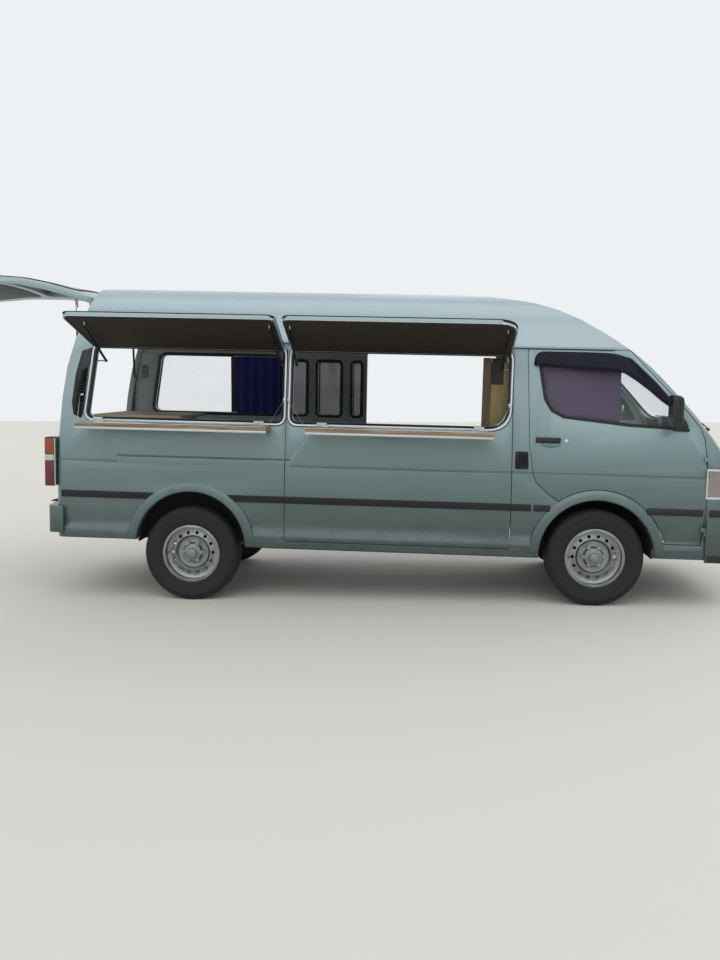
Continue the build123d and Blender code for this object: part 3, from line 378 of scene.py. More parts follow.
def metalFinish(name, colour, roughness, brushed=0.0):  # metal with drawn or spun lines
    material, shader = startMaterial(name, {"Metallic": 1.0, "Roughness": roughness})
    place = addNode(material, "TexCoord").outputs["Object"]
    lines = addNode(material, "Mapping", {"Scale": (4.0, 300.0, 300.0)}, {"Vector": place})
    scratch = addNode(material, "TexNoise", {"Scale": 6.0, "Detail": 5}, {"Vector": lines.outputs[0]})
    tone = addNode(material, "Mix",
                   {"data_type": "RGBA", 6: hexColour(colour[0]), 7: hexColour(colour[1])},
                   {0: scratch.outputs["Fac"]})
    rough = addNode(material, "MapRange",
                    {"To Min": roughness - brushed, "To Max": roughness + brushed},
                    {"Value": scratch.outputs["Fac"]})
    return feed(material, shader, {"Base Color": tone.outputs[2], "Roughness": rough.outputs["Result"]})


def woodFinish(name, colours, grain, roughness=0.6):  # sawn board: long grain bands with fine detail and a little relief
    material, shader = startMaterial(name, {"Roughness": roughness})
    place = addNode(material, "TexCoord").outputs["Object"]
    along = addNode(material, "Mapping", {"Scale": grain}, {"Vector": place})
    bands = addNode(material, "TexNoise", {"Scale": 5.0, "Detail": 8, "Distortion": 1.2},
                    {"Vector": along.outputs[0]})
    ramp = addNode(material, "ValToRGB", links={"Fac": bands.outputs["Fac"]})
    for element, position, colour in zip(ramp.color_ramp.elements, (0.32, 0.68), colours):
        element.position = position
        element.color = hexColour(colour)
    relief = addNode(material, "Bump", {"Strength": 0.25, "Distance": 0.001},
                     {"Height": bands.outputs["Fac"]})
    return feed(material, shader, {"Base Color": ramp.outputs["Color"], "Normal": relief.outputs[0]})


def glassFinish(name, tint, alpha, roughness=0.02, mirrored=0.5):
    # Thin glass or film: bright only at a glance
    material, shader = startMaterial(name, {"Base Color": hexColour(tint), "Roughness": roughness, "IOR": 1.5,
                                            "Alpha": alpha, "Specular IOR Level": mirrored})
    place = addNode(material, "TexCoord").outputs["Object"]
    dust = addNode(material, "TexNoise", {"Scale": 7.0, "Detail": 7}, {"Vector": place})
    dusty = min(1.0, alpha + 0.03)
    haze = addNode(material, "MapRange", {"From Min": 0.35, "From Max": 0.75, "To Min": alpha,
                                                    "To Max": dusty}, {"Value": dust.outputs["Fac"]})
    return feed(material, shader, {"Alpha": haze.outputs["Result"]})


def clothFinish(name, colours, thread):  # plain weave, thread given in metres and drawn coarse enough to show
    material, shader = startMaterial(name, {"Roughness": 0.9, "Sheen Weight": 0.35, "Sheen Roughness": 0.5})
    place = addNode(material, "TexCoord").outputs["Object"]
    count = 1 / thread / 6.28
    weft = addNode(material, "TexWave", {"Scale": count, "bands_direction": "Z"}, {"Vector": place})
    warp = addNode(material, "TexWave", {"Scale": count, "bands_direction": "X"}, {"Vector": place})
    weave = addNode(material, "Math", {"operation": "MAXIMUM"},
                    {0: weft.outputs["Fac"], 1: warp.outputs["Fac"]})
    fade = addNode(material, "TexNoise", {"Scale": 5.0, "Detail": 6}, {"Vector": place})
    tone = addNode(material, "Mix",
                   {"data_type": "RGBA", 6: hexColour(colours[0]), 7: hexColour(colours[1])},
                   {0: fade.outputs["Fac"]})
    relief = addNode(material, "Bump", {"Strength": 0.4, "Distance": 0.0008}, {"Height": weave.outputs[0]})
    return feed(material, shader, {"Base Color": tone.outputs[2], "Normal": relief.outputs[0]})


def lensFinish(name, colour, depth, ribs):
    # Moulded lens: coloured acrylic with upright ribs on its inner face
    material, shader = startMaterial(name, {"Base Color": hexColour(colour), "Roughness": 0.12, "IOR": 1.49,
                                            "Transmission Weight": depth, "Coat Weight": 0.6,
                                            "Coat Roughness": 0.04})
    place = addNode(material, "TexCoord").outputs["Object"]
    flutes = addNode(material, "TexWave", {"Scale": ribs, "bands_direction": "Y"}, {"Vector": place})
    relief = addNode(material, "Bump", {"Strength": 0.5, "Distance": 0.003},
                     {"Height": flutes.outputs["Fac"]})
    return feed(material, shader, {"Normal": relief.outputs[0]})


# Soft metallic sheen, paler and bluer near the roof; painted shade deepens it from the shoulders down, and a
# painted shadow and ground reflection darken it at the sills
bodyPaint = paintFinish("metallic green-grey lacquer",
                        {"light": "#93a9ac", "deep": "#637a78", "low": "#2b3937", "film": 0.85})
# Paler and bluer than the sides, so the high roof reads as its own moulding
roofPaint = paintFinish("metallic blue-grey roof lacquer",
                        {"light": "#a5b5bc", "deep": "#93a9ac", "low": "#8ea6a7", "film": 0.1})
# The body colour with less metal in it, as on plastic, with the same painted shadow and ground reflection low
# down
bumperPaint = paintFinish("painted moulded bumper",
                          {"light": "#6f8684", "deep": "#566b69", "low": "#2b3937", "film": 0.8,
                           "metallic": 0.2})
# Rough near-black with coarse pits
underseal = mouldedFinish("sprayed underseal", ("#17181a", "#2a2a29"), 0.6, 0.9, 240.0)
# Half-dull black with a fine grain at the edges of highlights
blackPlastic = mouldedFinish("black grained moulding", ("#08090b", "#131416"), 0.15, 0.5)
# Deeper and smoother, so the strips stay dark lines on the paint
stripPlastic = mouldedFinish("smooth black side moulding", ("#030406", "#08090c"), 0.06, 0.62)
# Dull black with hardly any grain
blackRubber = mouldedFinish("extruded rubber seal", ("#0c0c0d", "#191919"), 0.08, 0.65)
# Cool dark grey of the dashboard
cabPlastic = mouldedFinish("navy-grey interior moulding", ("#262b35", "#343a46"), 0.2, 0.6)
# Light grained board that brightens the openings: its grey is painted paler, as painted light for the
# daylight through the windows
greyTrim = mouldedFinish("warm grey interior trim", ("#868b8c", "#9ba0a0"), 0.15, 0.65)
# Warm and nearly black, as under the raised lids
brownLining = mouldedFinish("dark brown hardboard lining", ("#1f1812", "#2c231a"), 0.25, 0.7, 300.0)
# The dullest black, greyer where it is worn
tyreRubber = mouldedFinish("tyre rubber", ("#101113", "#1c1c1f"), 0.2, 0.78, 500.0)
castIron = metalFinish("black painted casting", ("#1b1b1c", "#2c2b2a"), 0.6, 0.1)  # dull black metal
engineIron = metalFinish("grey cast iron", ("#4a4a49", "#5f5c58"), 0.62, 0.12)  # matt warm grey
# Bright lines along wires and rods
bareSteel = metalFinish("bright drawn steel", ("#b9bcbf", "#d3d5d7"), 0.28, 0.08)
# Soft silver of the frames and nosings
trimMetal = metalFinish("satin anodised aluminium", ("#b4b8bb", "#d0d3d5"), 0.3, 0.06)
# Broad grey highlights on the wheels
silverPaint = metalFinish("silver wheel paint", ("#7d8081", "#9a9c9c"), 0.42, 0.08)
# Near mirror behind the lamp glass
chromeMetal = metalFinish("vacuum-plated bowl", ("#c2c6c8", "#dcdfe0"), 0.14, 0.05)
mirrorGlass = metalFinish("silvered mirror", ("#d5dadb", "#e2e6e6"), 0.05, 0.02)  # clear reflections
# Hardly seen but for its highlights and a little dust
clearGlass = glassFinish("tempered window glass", "#9fb3ac", 0.07)
tintedGlass = glassFinish("green tinted tailgate glass", "#4a5f53", 0.62)  # green-grey against the sky
privacyGlass = glassFinish("grey privacy glass", "#43525a", 0.7, 0.05, 0.35)  # dims what lies behind it
smokedGlass = glassFinish("smoked acrylic", "#12131f", 0.92, 0.12, 0.14)  # near-black with a blue edge
purpleGlass = glassFinish("purple tinted film", "#4b2a5a", 0.93, 0.1, 0.1)  # flat violet that hides the cab
# Long pale grain along the counters
pineBoard = woodFinish("light pine board", ("#76614d", "#ab987b"), (0.35, 9.0, 9.0))
paleBoard = woodFinish("worn plywood bench", ("#8a7c68", "#a89a86"), (0.6, 5.0, 6.0))  # greyed, broad grain
# Yellow-green board with upright streaks
oliveBoard = woodFinish("olive-tan hardboard", ("#6d6138", "#8a7c4c"), (6.0, 6.0, 0.5))
# Darker than the board beside it
brownBoard = woodFinish("brown stained post", ("#4a3a24", "#6d5836"), (6.0, 6.0, 0.5))
# Soft dark weave with a pale sheen at the edges
seatCloth = clothFinish("woven grey seat cloth", ("#2a2d36", "#3b3f4a"), 0.004)
# Saturated blue-purple that deepens in the folds
purpleCloth = clothFinish("blue-purple hung cloth", ("#1e1b5c", "#2b267e"), 0.004)
whiteMoulding = mouldedFinish("white enamelled trim", ("#c9ccca", "#dfe1de"), 0.04, 0.35)  # smooth off-white
# Cool dark board inside the sliding doors
darkLining = mouldedFinish("navy-grey door board", ("#2b2d36", "#3a3c46"), 0.2, 0.6)
lampGlass = lensFinish("clear ribbed lamp glass", "#e6eaea", 0.85, 28.0)  # breaks up the bowl behind it
whiteLens = lensFinish("milky lens", "#d9d9d2", 0.25, 30.0)  # a soft white block
amberLens = lensFinish("amber lens", "#a8480c", 0.35, 30.0)  # deep orange with ribbed highlights
redLens = lensFinish("red lens", "#6e0f0c", 0.3, 30.0)  # dark red, brighter along the ribs
print("finishes mixed")

# CAD panels carried over with smooth shading and softened edges
bodyOf = {node: body for body, members in frame["record"]["behaviour"]["bodies"].items() for node in members}


def freed(piece):
    for key in [key for key in piece.keys() if key.startswith("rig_")]:
        del piece[key]
    return piece


def dressNode(name, material, bevel):
    deselectAll()
    source = nodes[name]
    piece = source.copy()
    piece.data = source.data.copy()
    bpy.context.scene.collection.objects.link(piece)
    freed(piece).parent = None
    takeUp(piece)
    bpy.ops.object.mode_set(mode="EDIT")
    bpy.ops.mesh.select_all(action="SELECT")
    bpy.ops.mesh.remove_doubles(threshold=weld["cad"])
    bpy.ops.mesh.select_all(action="SELECT")
    bpy.ops.mesh.dissolve_limited(angle_limit=radians(0.3))
    bpy.ops.object.mode_set(mode="OBJECT")
    if bevel:
        runModifier(piece, "BEVEL", width=bevel, segments=2, limit_method="ANGLE", angle_limit=radians(40),
                    harden_normals=False)
    return handOver(piece, name + "Finish", material, bodyOf[name], [name], 32)


panelFinish = {
    "roof": (roofPaint, 0.002), "side_panel_right": (bodyPaint, 0.0015),
    "side_panel_left": (bodyPaint, 0.0015), "nose": (bodyPaint, 0.0015),
    "slide_door_right": (bodyPaint, 0.0015), "slide_door_left": (bodyPaint, 0.0015),
    "door_left": (bodyPaint, 0.0015), "door_right": (bodyPaint, 0.0015), "tailgate": (bodyPaint, 0.0015),
    "hatch_rear": (bodyPaint, 0.0015), "hatch_front": (bodyPaint, 0.0015), "floor_pan": (underseal, 0),
    "windscreen": (clearGlass, 0), "door_glass_left": (clearGlass, 0), "door_glass_right": (clearGlass, 0),
    "tailgate_glass": (tintedGlass, 0), "lamps": (chromeMetal, 0), "grille": (blackPlastic, 0),
    "bumper_front": (bumperPaint, 0.003), "bumper_rear": (bumperPaint, 0.003),
    "side_strips": (stripPlastic, 0.001), "vents": (blackPlastic, 0), "dashboard": (cabPlastic, 0.004),
    "steering_wheel": (blackPlastic, 0), "woodwork": (oliveBoard, 0.001), "engine": (engineIron, 0.004),
    "fuel_tank": (underseal, 0), "exhaust": (bareSteel, 0), "rear_axle": (castIron, 0),
    "leaf_springs": (castIron, 0.001), "front_suspension": (castIron, 0.002), "knuckle_left": (castIron, 0),
    "knuckle_right": (castIron, 0), "tailgate_tubes": (blackPlastic, 0), "tailgate_rods": (bareSteel, 0),
    "hatch_rear_tubes": (blackPlastic, 0), "hatch_rear_rods": (castIron, 0),
    "hatch_front_tubes": (blackPlastic, 0), "hatch_front_rods": (castIron, 0)}
for place in ("front_left", "front_right", "rear_left", "rear_right"):
    panelFinish["rim_" + place] = (silverPaint, 0.0015)
for name, (material, bevel) in panelFinish.items():
    dressNode(name, material, bevel)
print("panels dressed")

# Wheels: a worn commercial tyre, a hub with its nuts, and a valve
tyre = {"halfWidth": 0.0972, "seat": 0.2005, "crown": 0.343, "grooves": (0.040, 0.0135), "grooveDepth": 0.008,
        "grooveWidth": 0.006, "steps": 120, "lugEvery": 3, "lugDepth": 0.8, "lugsFrom": (0.044, 0.3375),
        "barBand": (0.306, 0.318), "barHeight": 0.0012}
wheelSpots = {}
for end, x, track in (("front_", chassis["wheelbase"], chassis["frontTrack"]),
                      ("rear_", 0, chassis["rearTrack"])):
    wheelSpots[end + "left"] = (x, track, leftSide)
    wheelSpots[end + "right"] = (x, -track, rightSide)


def tyreProfile():  # half section from the bead to the middle of the tread, then mirrored
    t = tyre  # X and Y run from the wheel's axis outwards
    side = [(t["seat"], 0.076), (0.2095, 0.0795), (0.217, 0.084), (0.226, 0.089), (0.2285, 0.0905),
            (0.232, 0.089), (0.246, 0.0945), (0.268, t["halfWidth"]), (0.292, 0.0958), (0.296, 0.0972),
            (0.302, 0.0968), (0.306, 0.0948), (0.318, 0.0905), (0.3265, 0.0862), (0.333, 0.0805),
            (0.3385, 0.0735), (0.3412, 0.066)]
    tread = [(t["crown"] - 0.0012, 0.062)]
    for middle in t["grooves"]:
        half = t["grooveWidth"] / 2
        tread += [(t["crown"] - 0.0006, middle + half + 0.0006),
                  (t["crown"] - t["grooveDepth"], middle + half - 0.001),
                  (t["crown"] - t["grooveDepth"], middle - half + 0.001),
                  (t["crown"] - 0.0002, middle - half - 0.0006)]
    half = side + tread
    return [(r, y) for r, y in half] + [(r, -y) for r, y in reversed(half)]


def makeTyre():
    profile = [(r, y, 0) for r, y in tyreProfile()]
    piece = spun(profile, tyre["steps"])
    takeUp(piece)
    mesh = piece.data
    step = 2 * pi / tyre["steps"]
    for face in mesh.polygons:  # cross cuts in the shoulder ribs, every third step, offset side to side
        x, y, z = face.center
        turnStep = int((atan2(z, x) % (2 * pi)) / step + (1 if y > 0 else 0))
        onShoulder = abs(y) > tyre["lugsFrom"][0] and hypot(x, z) > tyre["lugsFrom"][1]
        face.select = onShoulder and turnStep % tyre["lugEvery"] == 0
    for edge in mesh.edges:
        edge.select = False
    bpy.ops.object.mode_set(mode="EDIT")
    bpy.ops.mesh.select_mode(type="FACE")
    cut = -tyre["grooveDepth"] * tyre["lugDepth"]
    bpy.ops.mesh.extrude_region_shrink_fatten(TRANSFORM_OT_shrink_fatten={"value": cut})
    bpy.ops.object.mode_set(mode="OBJECT")
    for face in mesh.polygons:  # short bars on the upper sidewall
        x, y, z = face.center
        turnStep = int((atan2(z, x) % (2 * pi)) / step)
        low, high = tyre["barBand"]
        face.select = low < hypot(x, z) < high and turnStep % tyre["lugEvery"] == 1
    bpy.ops.object.mode_set(mode="EDIT")
    bpy.ops.mesh.extrude_region_shrink_fatten(TRANSFORM_OT_shrink_fatten={"value": tyre["barHeight"]})
    bpy.ops.object.mode_set(mode="OBJECT")
    return piece


nut = {"circle": 0.06985, "count": 6, "across": 0.0105, "height": 0.017, "face": 0.0465}
hub = {"capFace": 0.052}


def makeHubPieces():
    pieces = []
    for i in range(nut["count"]):
        a = 2 * pi * i / nut["count"]
        deselectAll()
        bpy.ops.mesh.primitive_cylinder_add(vertices=6, radius=nut["across"], depth=nut["height"],
                                            location=(nut["circle"] * cos(a),
                                                      nut["face"] + nut["height"] / 2 - 0.004,
                                                      nut["circle"] * sin(a)), rotation=(pi / 2, a, 0))
        one = bpy.context.active_object
        bpy.ops.object.transform_apply(location=True, rotation=True, scale=True)
        runModifier(one, "BEVEL", width=0.002, segments=2, limit_method="ANGLE")
        pieces.append(one)
        washer = spun([(0.0125, 0, 0), (0.0145, 0.001, 0), (0.0145, 0.004, 0), (0.0115, 0.0055, 0),
                       (0.004, 0.0055, 0), (0.004, 0, 0)], 20)
        pieces.append(settle(washer, Matrix.Translation((nut["circle"] * cos(a), nut["face"] - 0.005,
                                                         nut["circle"] * sin(a)))))
    face = hub["capFace"]
    cap = spun([(r, face + rise, 0) for r, rise in ((0.0, -0.006), (0.05, -0.006), (0.048, -0.001),
                                                    (0.037, 0.001), (0.035, 0.016), (0.031, 0.021),
                                                    (0.012, 0.024), (0.0, 0.0245))],
               40)
    pieces.append(cap)
    return joinUp(pieces)


tyreModel = makeTyre()
hubModel = makeHubPieces()
valveModel = joinUp([bar((0.178, 0.03, 0), (0.176, 0.062, 0), 0.0035, 10, 0.0008),
                     bar((0.1765, 0.056, 0), (0.1758, 0.068, 0), 0.0048, 10, 0.0012)])
for name, (x, y, side) in wheelSpots.items():
    spot = Matrix.Translation((x, y, chassis["axleHeight"]))
    turned = spot @ Matrix.Rotation(0 if side == leftSide else pi, 4, "Z")
    for model, word, finish, slot in ((tyreModel, "tyre", tyreRubber, "tyre_rubber"),
                                      (hubModel, "hub", silverPaint, "wheel_silver"),
                                      (valveModel, "valve", blackRubber, "tyre_rubber")):
        twin = settle(copyOf(model), levelPlace @ turned)
        held = ["tyre_" + name] if word == "tyre" else []
        handOver(twin, word + name.title().replace("_", ""), finish, "wheel_" + name, held, 28)
for model in (tyreModel, hubModel, valveModel):
    bpy.data.objects.remove(model)
print("wheels")

# Outlines on the body's side, as X and Z of each corner and its own radius where it has one, the same
# openings that the panels have
outlines = {
    "hatchRear": [(-0.704, 1.764), (-0.768, 1.236), (0.664, 1.236), (0.664, 1.764)],
    "hatchFront": [(0.716, 1.764), (0.712, 1.236), (2.252, 1.236, 0.15), (2.256, 1.764)],
    "doorWindow": [(2.448, 1.694), (2.464, 1.597), (2.491, 1.451), (2.54, 1.37), (2.628, 1.325),
                   (3.081, 1.279), (3.496, 1.262), (3.39, 1.43), (3.25, 1.582), (3.075, 1.742), (3.0, 1.762),
                   (2.5, 1.77)],
    "rearWindow": [(-0.655, 1.742), (-0.735, 1.24), (0.385, 1.24), (0.385, 1.742)],
    "windscreen": [(-0.7, 1.815), (-0.752, 1.29), (0.752, 1.29), (0.7, 1.815)],
    "tailWindow": [(-0.56, 1.975), (-0.6, 1.3), (0.6, 1.3), (0.56, 1.975)]}
noseProfile = [(0.3, 3.885), (0.78, 3.885), (1.0, 3.86), (1.127, 3.808), (1.224, 3.737), (1.339, 3.633),
               (1.482, 3.5), (1.66, 3.325), (1.744, 3.224), (1.825, 3.12), (1.92, 2.965)]
tailProfile = [(0.3, -1.04), (0.753, -1.045), (1.081, -1.036), (1.38, -1.003), (1.603, -0.964),
               (1.788, -0.906), (2.016, -0.817), (2.154, -0.745)]
noseBow = {"curve": 3.6, "corner": 0.09, "half": 0.846}
tailBow = {"curve": 6.0, "corner": 0.09, "half": 0.846}


def along(profile, z):  # X of the body's end at a height
    for (z0, x0), (z1, x1) in zip(profile, profile[1:]):
        if z <= z1:
            return x0 + (x1 - x0) * (z - z0) / (z1 - z0)
    return profile[-1][1]


def bowed(bow, y):  # how far the body's end falls back from its middle
    curve, corner, half = bow["curve"], bow["corner"], bow["half"]
    centre = -curve + sqrt((curve - corner) ** 2 - (half - corner) ** 2)
    joint = curve * sin(atan2(half - corner, centre + curve))
    y = min(abs(y), half)
    if y <= joint:
        return sqrt(curve ** 2 - y ** 2) - curve
    return centre + sqrt(max(0.0, corner ** 2 - (y - half + corner) ** 2))


def onNose(y, z, out=0.0):
    return (along(noseProfile, z) + bowed(noseBow, y) + out, y, z)


def onTail(y, z, out=0.0):
    return (along(tailProfile, z) - bowed(tailBow, y) - out, y, z)


def grown(points, distance):  # outline moved outwards by a distance, inwards where it is negative
    count = len(points)
    area = sum(points[i - 1][0] * points[i][1] - points[i][0] * points[i - 1][1] for i in range(count))
    moved = []
    for i in range(count):
        a, b, c = (Vector(points[k % count][:2]) for k in (i - 1, i, i + 1))
        u, v = (b - a).normalized(), (c - b).normalized()
        first, second = Vector((u.y, -u.x)), Vector((v.y, -v.x))
        shift = (first + second) * distance / (1 + first.dot(second))
        moved.append(tuple(b + (shift if area > 0 else -shift)))
    return moved


def divided(loop, step):  # closed loop with points no further apart than a step
    finer = []
    for i, point in enumerate(loop):
        after = loop[(i + 1) % len(loop)]
        count = max(1, int((Vector(after) - Vector(point)).length / step))
        finer += [Vector(point).lerp(Vector(after), k / count) for k in range(count)]
    return finer


def sideLoop(outline, side, out=0.0, grow=0.0, radius=0.055, steps=6):
    radii = [max(0.004, (point[2] if len(point) > 2 else radius) + grow) for point in outline]
    corners = roundedLoop([(x, z, 0) for x, z in grown(outline, grow)], radii, steps)
    return [(x, side * (skinY(z) + out), z) for x, z, flat in corners]


def endLoop(outline, place, out=0.0, grow=0.0, radius=0.09):
    # Outline in Y and Z, laid on the nose or the tail
    corners = roundedLoop([(y, z, 0) for y, z in grown(outline, grow)], max(0.004, radius + grow), 8)
    return [place(y, z, out) for y, z, flat in divided(corners, 0.05)]


def shapedRing(loop, fill="NOTHING"):
    deselectAll()
    bpy.ops.mesh.primitive_circle_add(vertices=len(loop), radius=1, fill_type=fill)
    piece = bpy.context.active_object
    for vertex, point in zip(piece.data.vertices, loop):
        vertex.co = point
    return piece


def thickened(piece, thickness, bevel):  # sheet given its thickness and softened edges
    if thickness:
        runModifier(piece, "SOLIDIFY", thickness=thickness, offset=0)
    if bevel:
        runModifier(piece, "BEVEL", width=bevel, segments=2, limit_method="ANGLE", angle_limit=radians(50))
    return cleanMesh(piece, weld["drawn"])


def loft(rows, thickness=0.0, bevel=0.0):  # sheet through rows with as many points each
    deselectAll()
    bpy.ops.mesh.primitive_grid_add(x_subdivisions=len(rows[0]) - 1, y_subdivisions=len(rows) - 1)
    piece = bpy.context.active_object
    for vertex, point in zip(piece.data.vertices, [point for row in rows for point in row]):
        vertex.co = point
    return thickened(piece, thickness, bevel)


def closedLoft(loops):  # closed body through closed loops, with both ends filled
    piece = loft([list(loop) + [loop[0]] for loop in loops])
    takeUp(piece)
    bpy.ops.object.mode_set(mode="EDIT")
    bpy.ops.mesh.select_all(action="SELECT")
    bpy.ops.mesh.fill_holes(sides=0)
    bpy.ops.mesh.normals_make_consistent(inside=False)
    bpy.ops.object.mode_set(mode="OBJECT")
    return piece


def plate(loop, thickness, bevel=0.0):  # sheet inside a closed outline
    return thickened(shapedRing(loop, "NGON"), thickness, bevel)


def band(outer, inner, thickness, bevel=0.0):  # flat frame between two outlines with as many points
    piece = joinUp([shapedRing(outer), shapedRing(inner)])
    takeUp(piece)
    bpy.ops.object.mode_set(mode="EDIT")
    bpy.ops.mesh.select_mode(type="EDGE")
    bpy.ops.mesh.select_all(action="SELECT")
    bpy.ops.mesh.bridge_edge_loops()
    bpy.ops.object.mode_set(mode="OBJECT")
    return thickened(piece, thickness, bevel)


def finished(piece, name, material, place=bodyPlace, body="body", stands=(), smooth=35):
    # drawn level, then put in place and handed over
    return handOver(settle(piece, place), name, material, body, stands, smooth)


# Silver frames and rubber seals of the two side openings
opening = {"silver": (0.004, 0.0165), "silverOut": 0.0032, "bead": 0.0032, "beadGrow": 0.0192,
           "beadOut": 0.002, "seal": 0.0065, "sealGrow": -0.0075, "sealOut": -0.021}
frames, seals = [], []
for name in ("hatchRear", "hatchFront"):
    inner, outer = (sideLoop(outlines[name], rightSide, opening["silverOut"],
                             grow) for grow in opening["silver"])
    frames.append(band(outer, inner, 0.0045, 0.0012))
    for word in ("bead", "seal"):
        line = sideLoop(outlines[name], rightSide, opening[word + "Out"], opening[word + "Grow"])
        seals.append(tube(line, opening[word]))
finished(joinUp(frames), "openingFrames", trimMetal, stands=["hatch_frames"])
finished(joinUp(seals), "openingSeals", blackRubber)

# Raised lids, drawn shut: brown board lining inside a silver edge, with a rubber seal round it
lid = {"thickness": 0.028, "edge": (-0.004, -0.024), "board": -0.024, "bulb": 0.005, "bulbGrow": -0.016,
       "lip": 0.0034, "rubberWidth": 0.017, "wrap": -0.0032}


def edgeWrap(outline, outFrom, outTo, grow):  # thin strip round the edge of a lid
    loops = [sideLoop(outline, rightSide, out, grow) for out in (outFrom, outTo)]
    return loft([list(loop) + [loop[0]] for loop in loops], 0.0016)


for name, body in (("hatchRear", "hatch_rear"), ("hatchFront", "hatch_front")):
    outline, depth = outlines[name], -lid["thickness"]
    outer, inner = (sideLoop(outline, rightSide, depth - 0.0015, grow) for grow in lid["edge"])
    silver = band(outer, inner, 0.003, 0.0008)
    finished(silver, body + "EdgeStrip", trimMetal, hatchPlace, body)
    board = plate(sideLoop(outline, rightSide, depth - 0.001, lid["board"]), 0.003, 0.0006)
    finished(board, body + "Lining", brownLining, hatchPlace, body)
    rubber = joinUp([tube(sideLoop(outline, rightSide, depth - 0.004, lid["bulbGrow"]), lid["bulb"]),
                     tube(sideLoop(outline, rightSide, -0.002, -0.0005), lid["lip"]),
                     edgeWrap(outline, 0.0, -lid["rubberWidth"], lid["wrap"])])
    finished(rubber, body + "Seal", blackRubber, hatchPlace, body)
    nosing = edgeWrap(outline, -lid["rubberWidth"], depth - 0.003, lid["wrap"])
    finished(nosing, body + "Nosing", trimMetal, hatchPlace, body)
print("openings and lids")

# Counters: sealed pine board under a thin metal top, with a metal nosing and white hinge leaves
counter = {"depth": 0.205, "thickness": 0.042, "axisY": -0.837, "axisZ": 1.222, "sheet": 0.003,
           "strip": 0.012, "leaf": 0.16, "inset": 0.09, "nosing": 0.013}
counterSpans = {"rear": (-0.766, 0.579), "front": (0.85, 2.135)}
stay = {"rear": (-0.796, 0.671), "front": (0.7, 2.256), "y": -0.8385, "z": 1.4, "end": (0.004, -1.005, 1.2),
        "wire": 0.0017}
for name, (x0, x1) in counterSpans.items():
    body = "counter_" + name
    top = counter["axisZ"] - 0.004
    inner = counter["axisY"] + 0.004
    outer = inner - counter["depth"]
    low = top - counter["thickness"]
    pine = slab((x0, outer, low), (x1, inner - 0.012, top), 0.004, 3)
    finished(pine, body + "Board", pineBoard, body=body, stands=[body])
    sheet = joinUp([slab((x0 + 0.002, outer + 0.002, top - 0.001),
                         (x1 - 0.002, counter["axisY"] - counter["strip"], top + counter["sheet"]), 0.001),
                    slab((x0, outer - 0.002, low - 0.0015), (x1, outer + 0.004, low + counter["nosing"]),
                         0.001),
                    slab((x0, outer, low - 0.0025), (x1, outer + 0.045, low - 0.0005), 0.0005),
                    slab((x0 + counter["leaf"], inner - 0.02, top - 0.002),
                         (x1 - counter["leaf"], inner - 0.002, top + 0.002), 0.001)])
    finished(sheet, body + "Metal", trimMetal, body=body)
    leaves = []
    for end, way in ((x0, 1), (x1, -1)):
        middle = end + way * counter["inset"]
        leaves.append(slab((middle - 0.055, counter["axisY"] - 0.055, top - 0.0005),
                           (middle + 0.055, inner - 0.006, top + 0.0045), 0.0012))
        leaves.append(bar((middle - 0.0395, counter["axisY"], counter["axisZ"]),
                          (middle + 0.0395, counter["axisY"], counter["axisZ"]), 0.0044, 14, 0.0008))
        for dx in (-0.038, 0.0, 0.038):
            screw = spun([(0.0, 0.0015, 0), (0.003, 0.0012, 0), (0.0042, 0.0002, 0), (0.0042, -0.001, 0),
                          (0.0, -0.001, 0)], 14, closed=False)
            place = Matrix.Translation((middle + dx, counter["axisY"] - 0.04, top + 0.0045))
            leaves.append(settle(screw, place @ Matrix.Rotation(pi / 2, 4, "X")))
    finished(joinUp(leaves), body + "Leaves", whiteMoulding, body=body)
    stays = []
    for end, eye in zip((x0, x1), stay[name]):
        way = 1 if eye < end else -1
        face, z = -skinY(stay["z"]), stay["z"]
        start = Vector((eye, stay["y"], z))
        finish = Vector((end + way * stay["end"][0], *stay["end"][1:]))
        bends = [start, start + Vector((0, -0.012, -0.004)), finish + Vector((0, 0.006, 0.01)), finish]
        stays.append(tube(bends, stay["wire"], False))
        stays.append(slab((eye - 0.011, face - 0.004, 1.385), (eye + 0.011, face + 0.002, 1.415), 0.0025, 3))
        stays.append(bar((eye, face, z), start, 0.004, 14, 0.001))
    finished(joinUp(stays), "stays" + name.title(), bareSteel)
    face = -skinY(1.232)
    upright = [slab((middle - 0.036, face - 0.0092, top + 0.0005), (middle + 0.036, face - 0.004, top + 0.03),
                    0.002, 3)
               for middle in (x0 + counter["inset"], x1 - counter["inset"])]
    finished(joinUp(upright), "hingeLeaves" + name.title(), whiteMoulding)
    rail = slab((x0 + 0.14, face - 0.0088, top + 0.001), (x1 - 0.14, face - 0.004, top + 0.018), 0.0015, 3)
    finished(rail, "hingeRail" + name.title(), trimMetal)
print("counters")

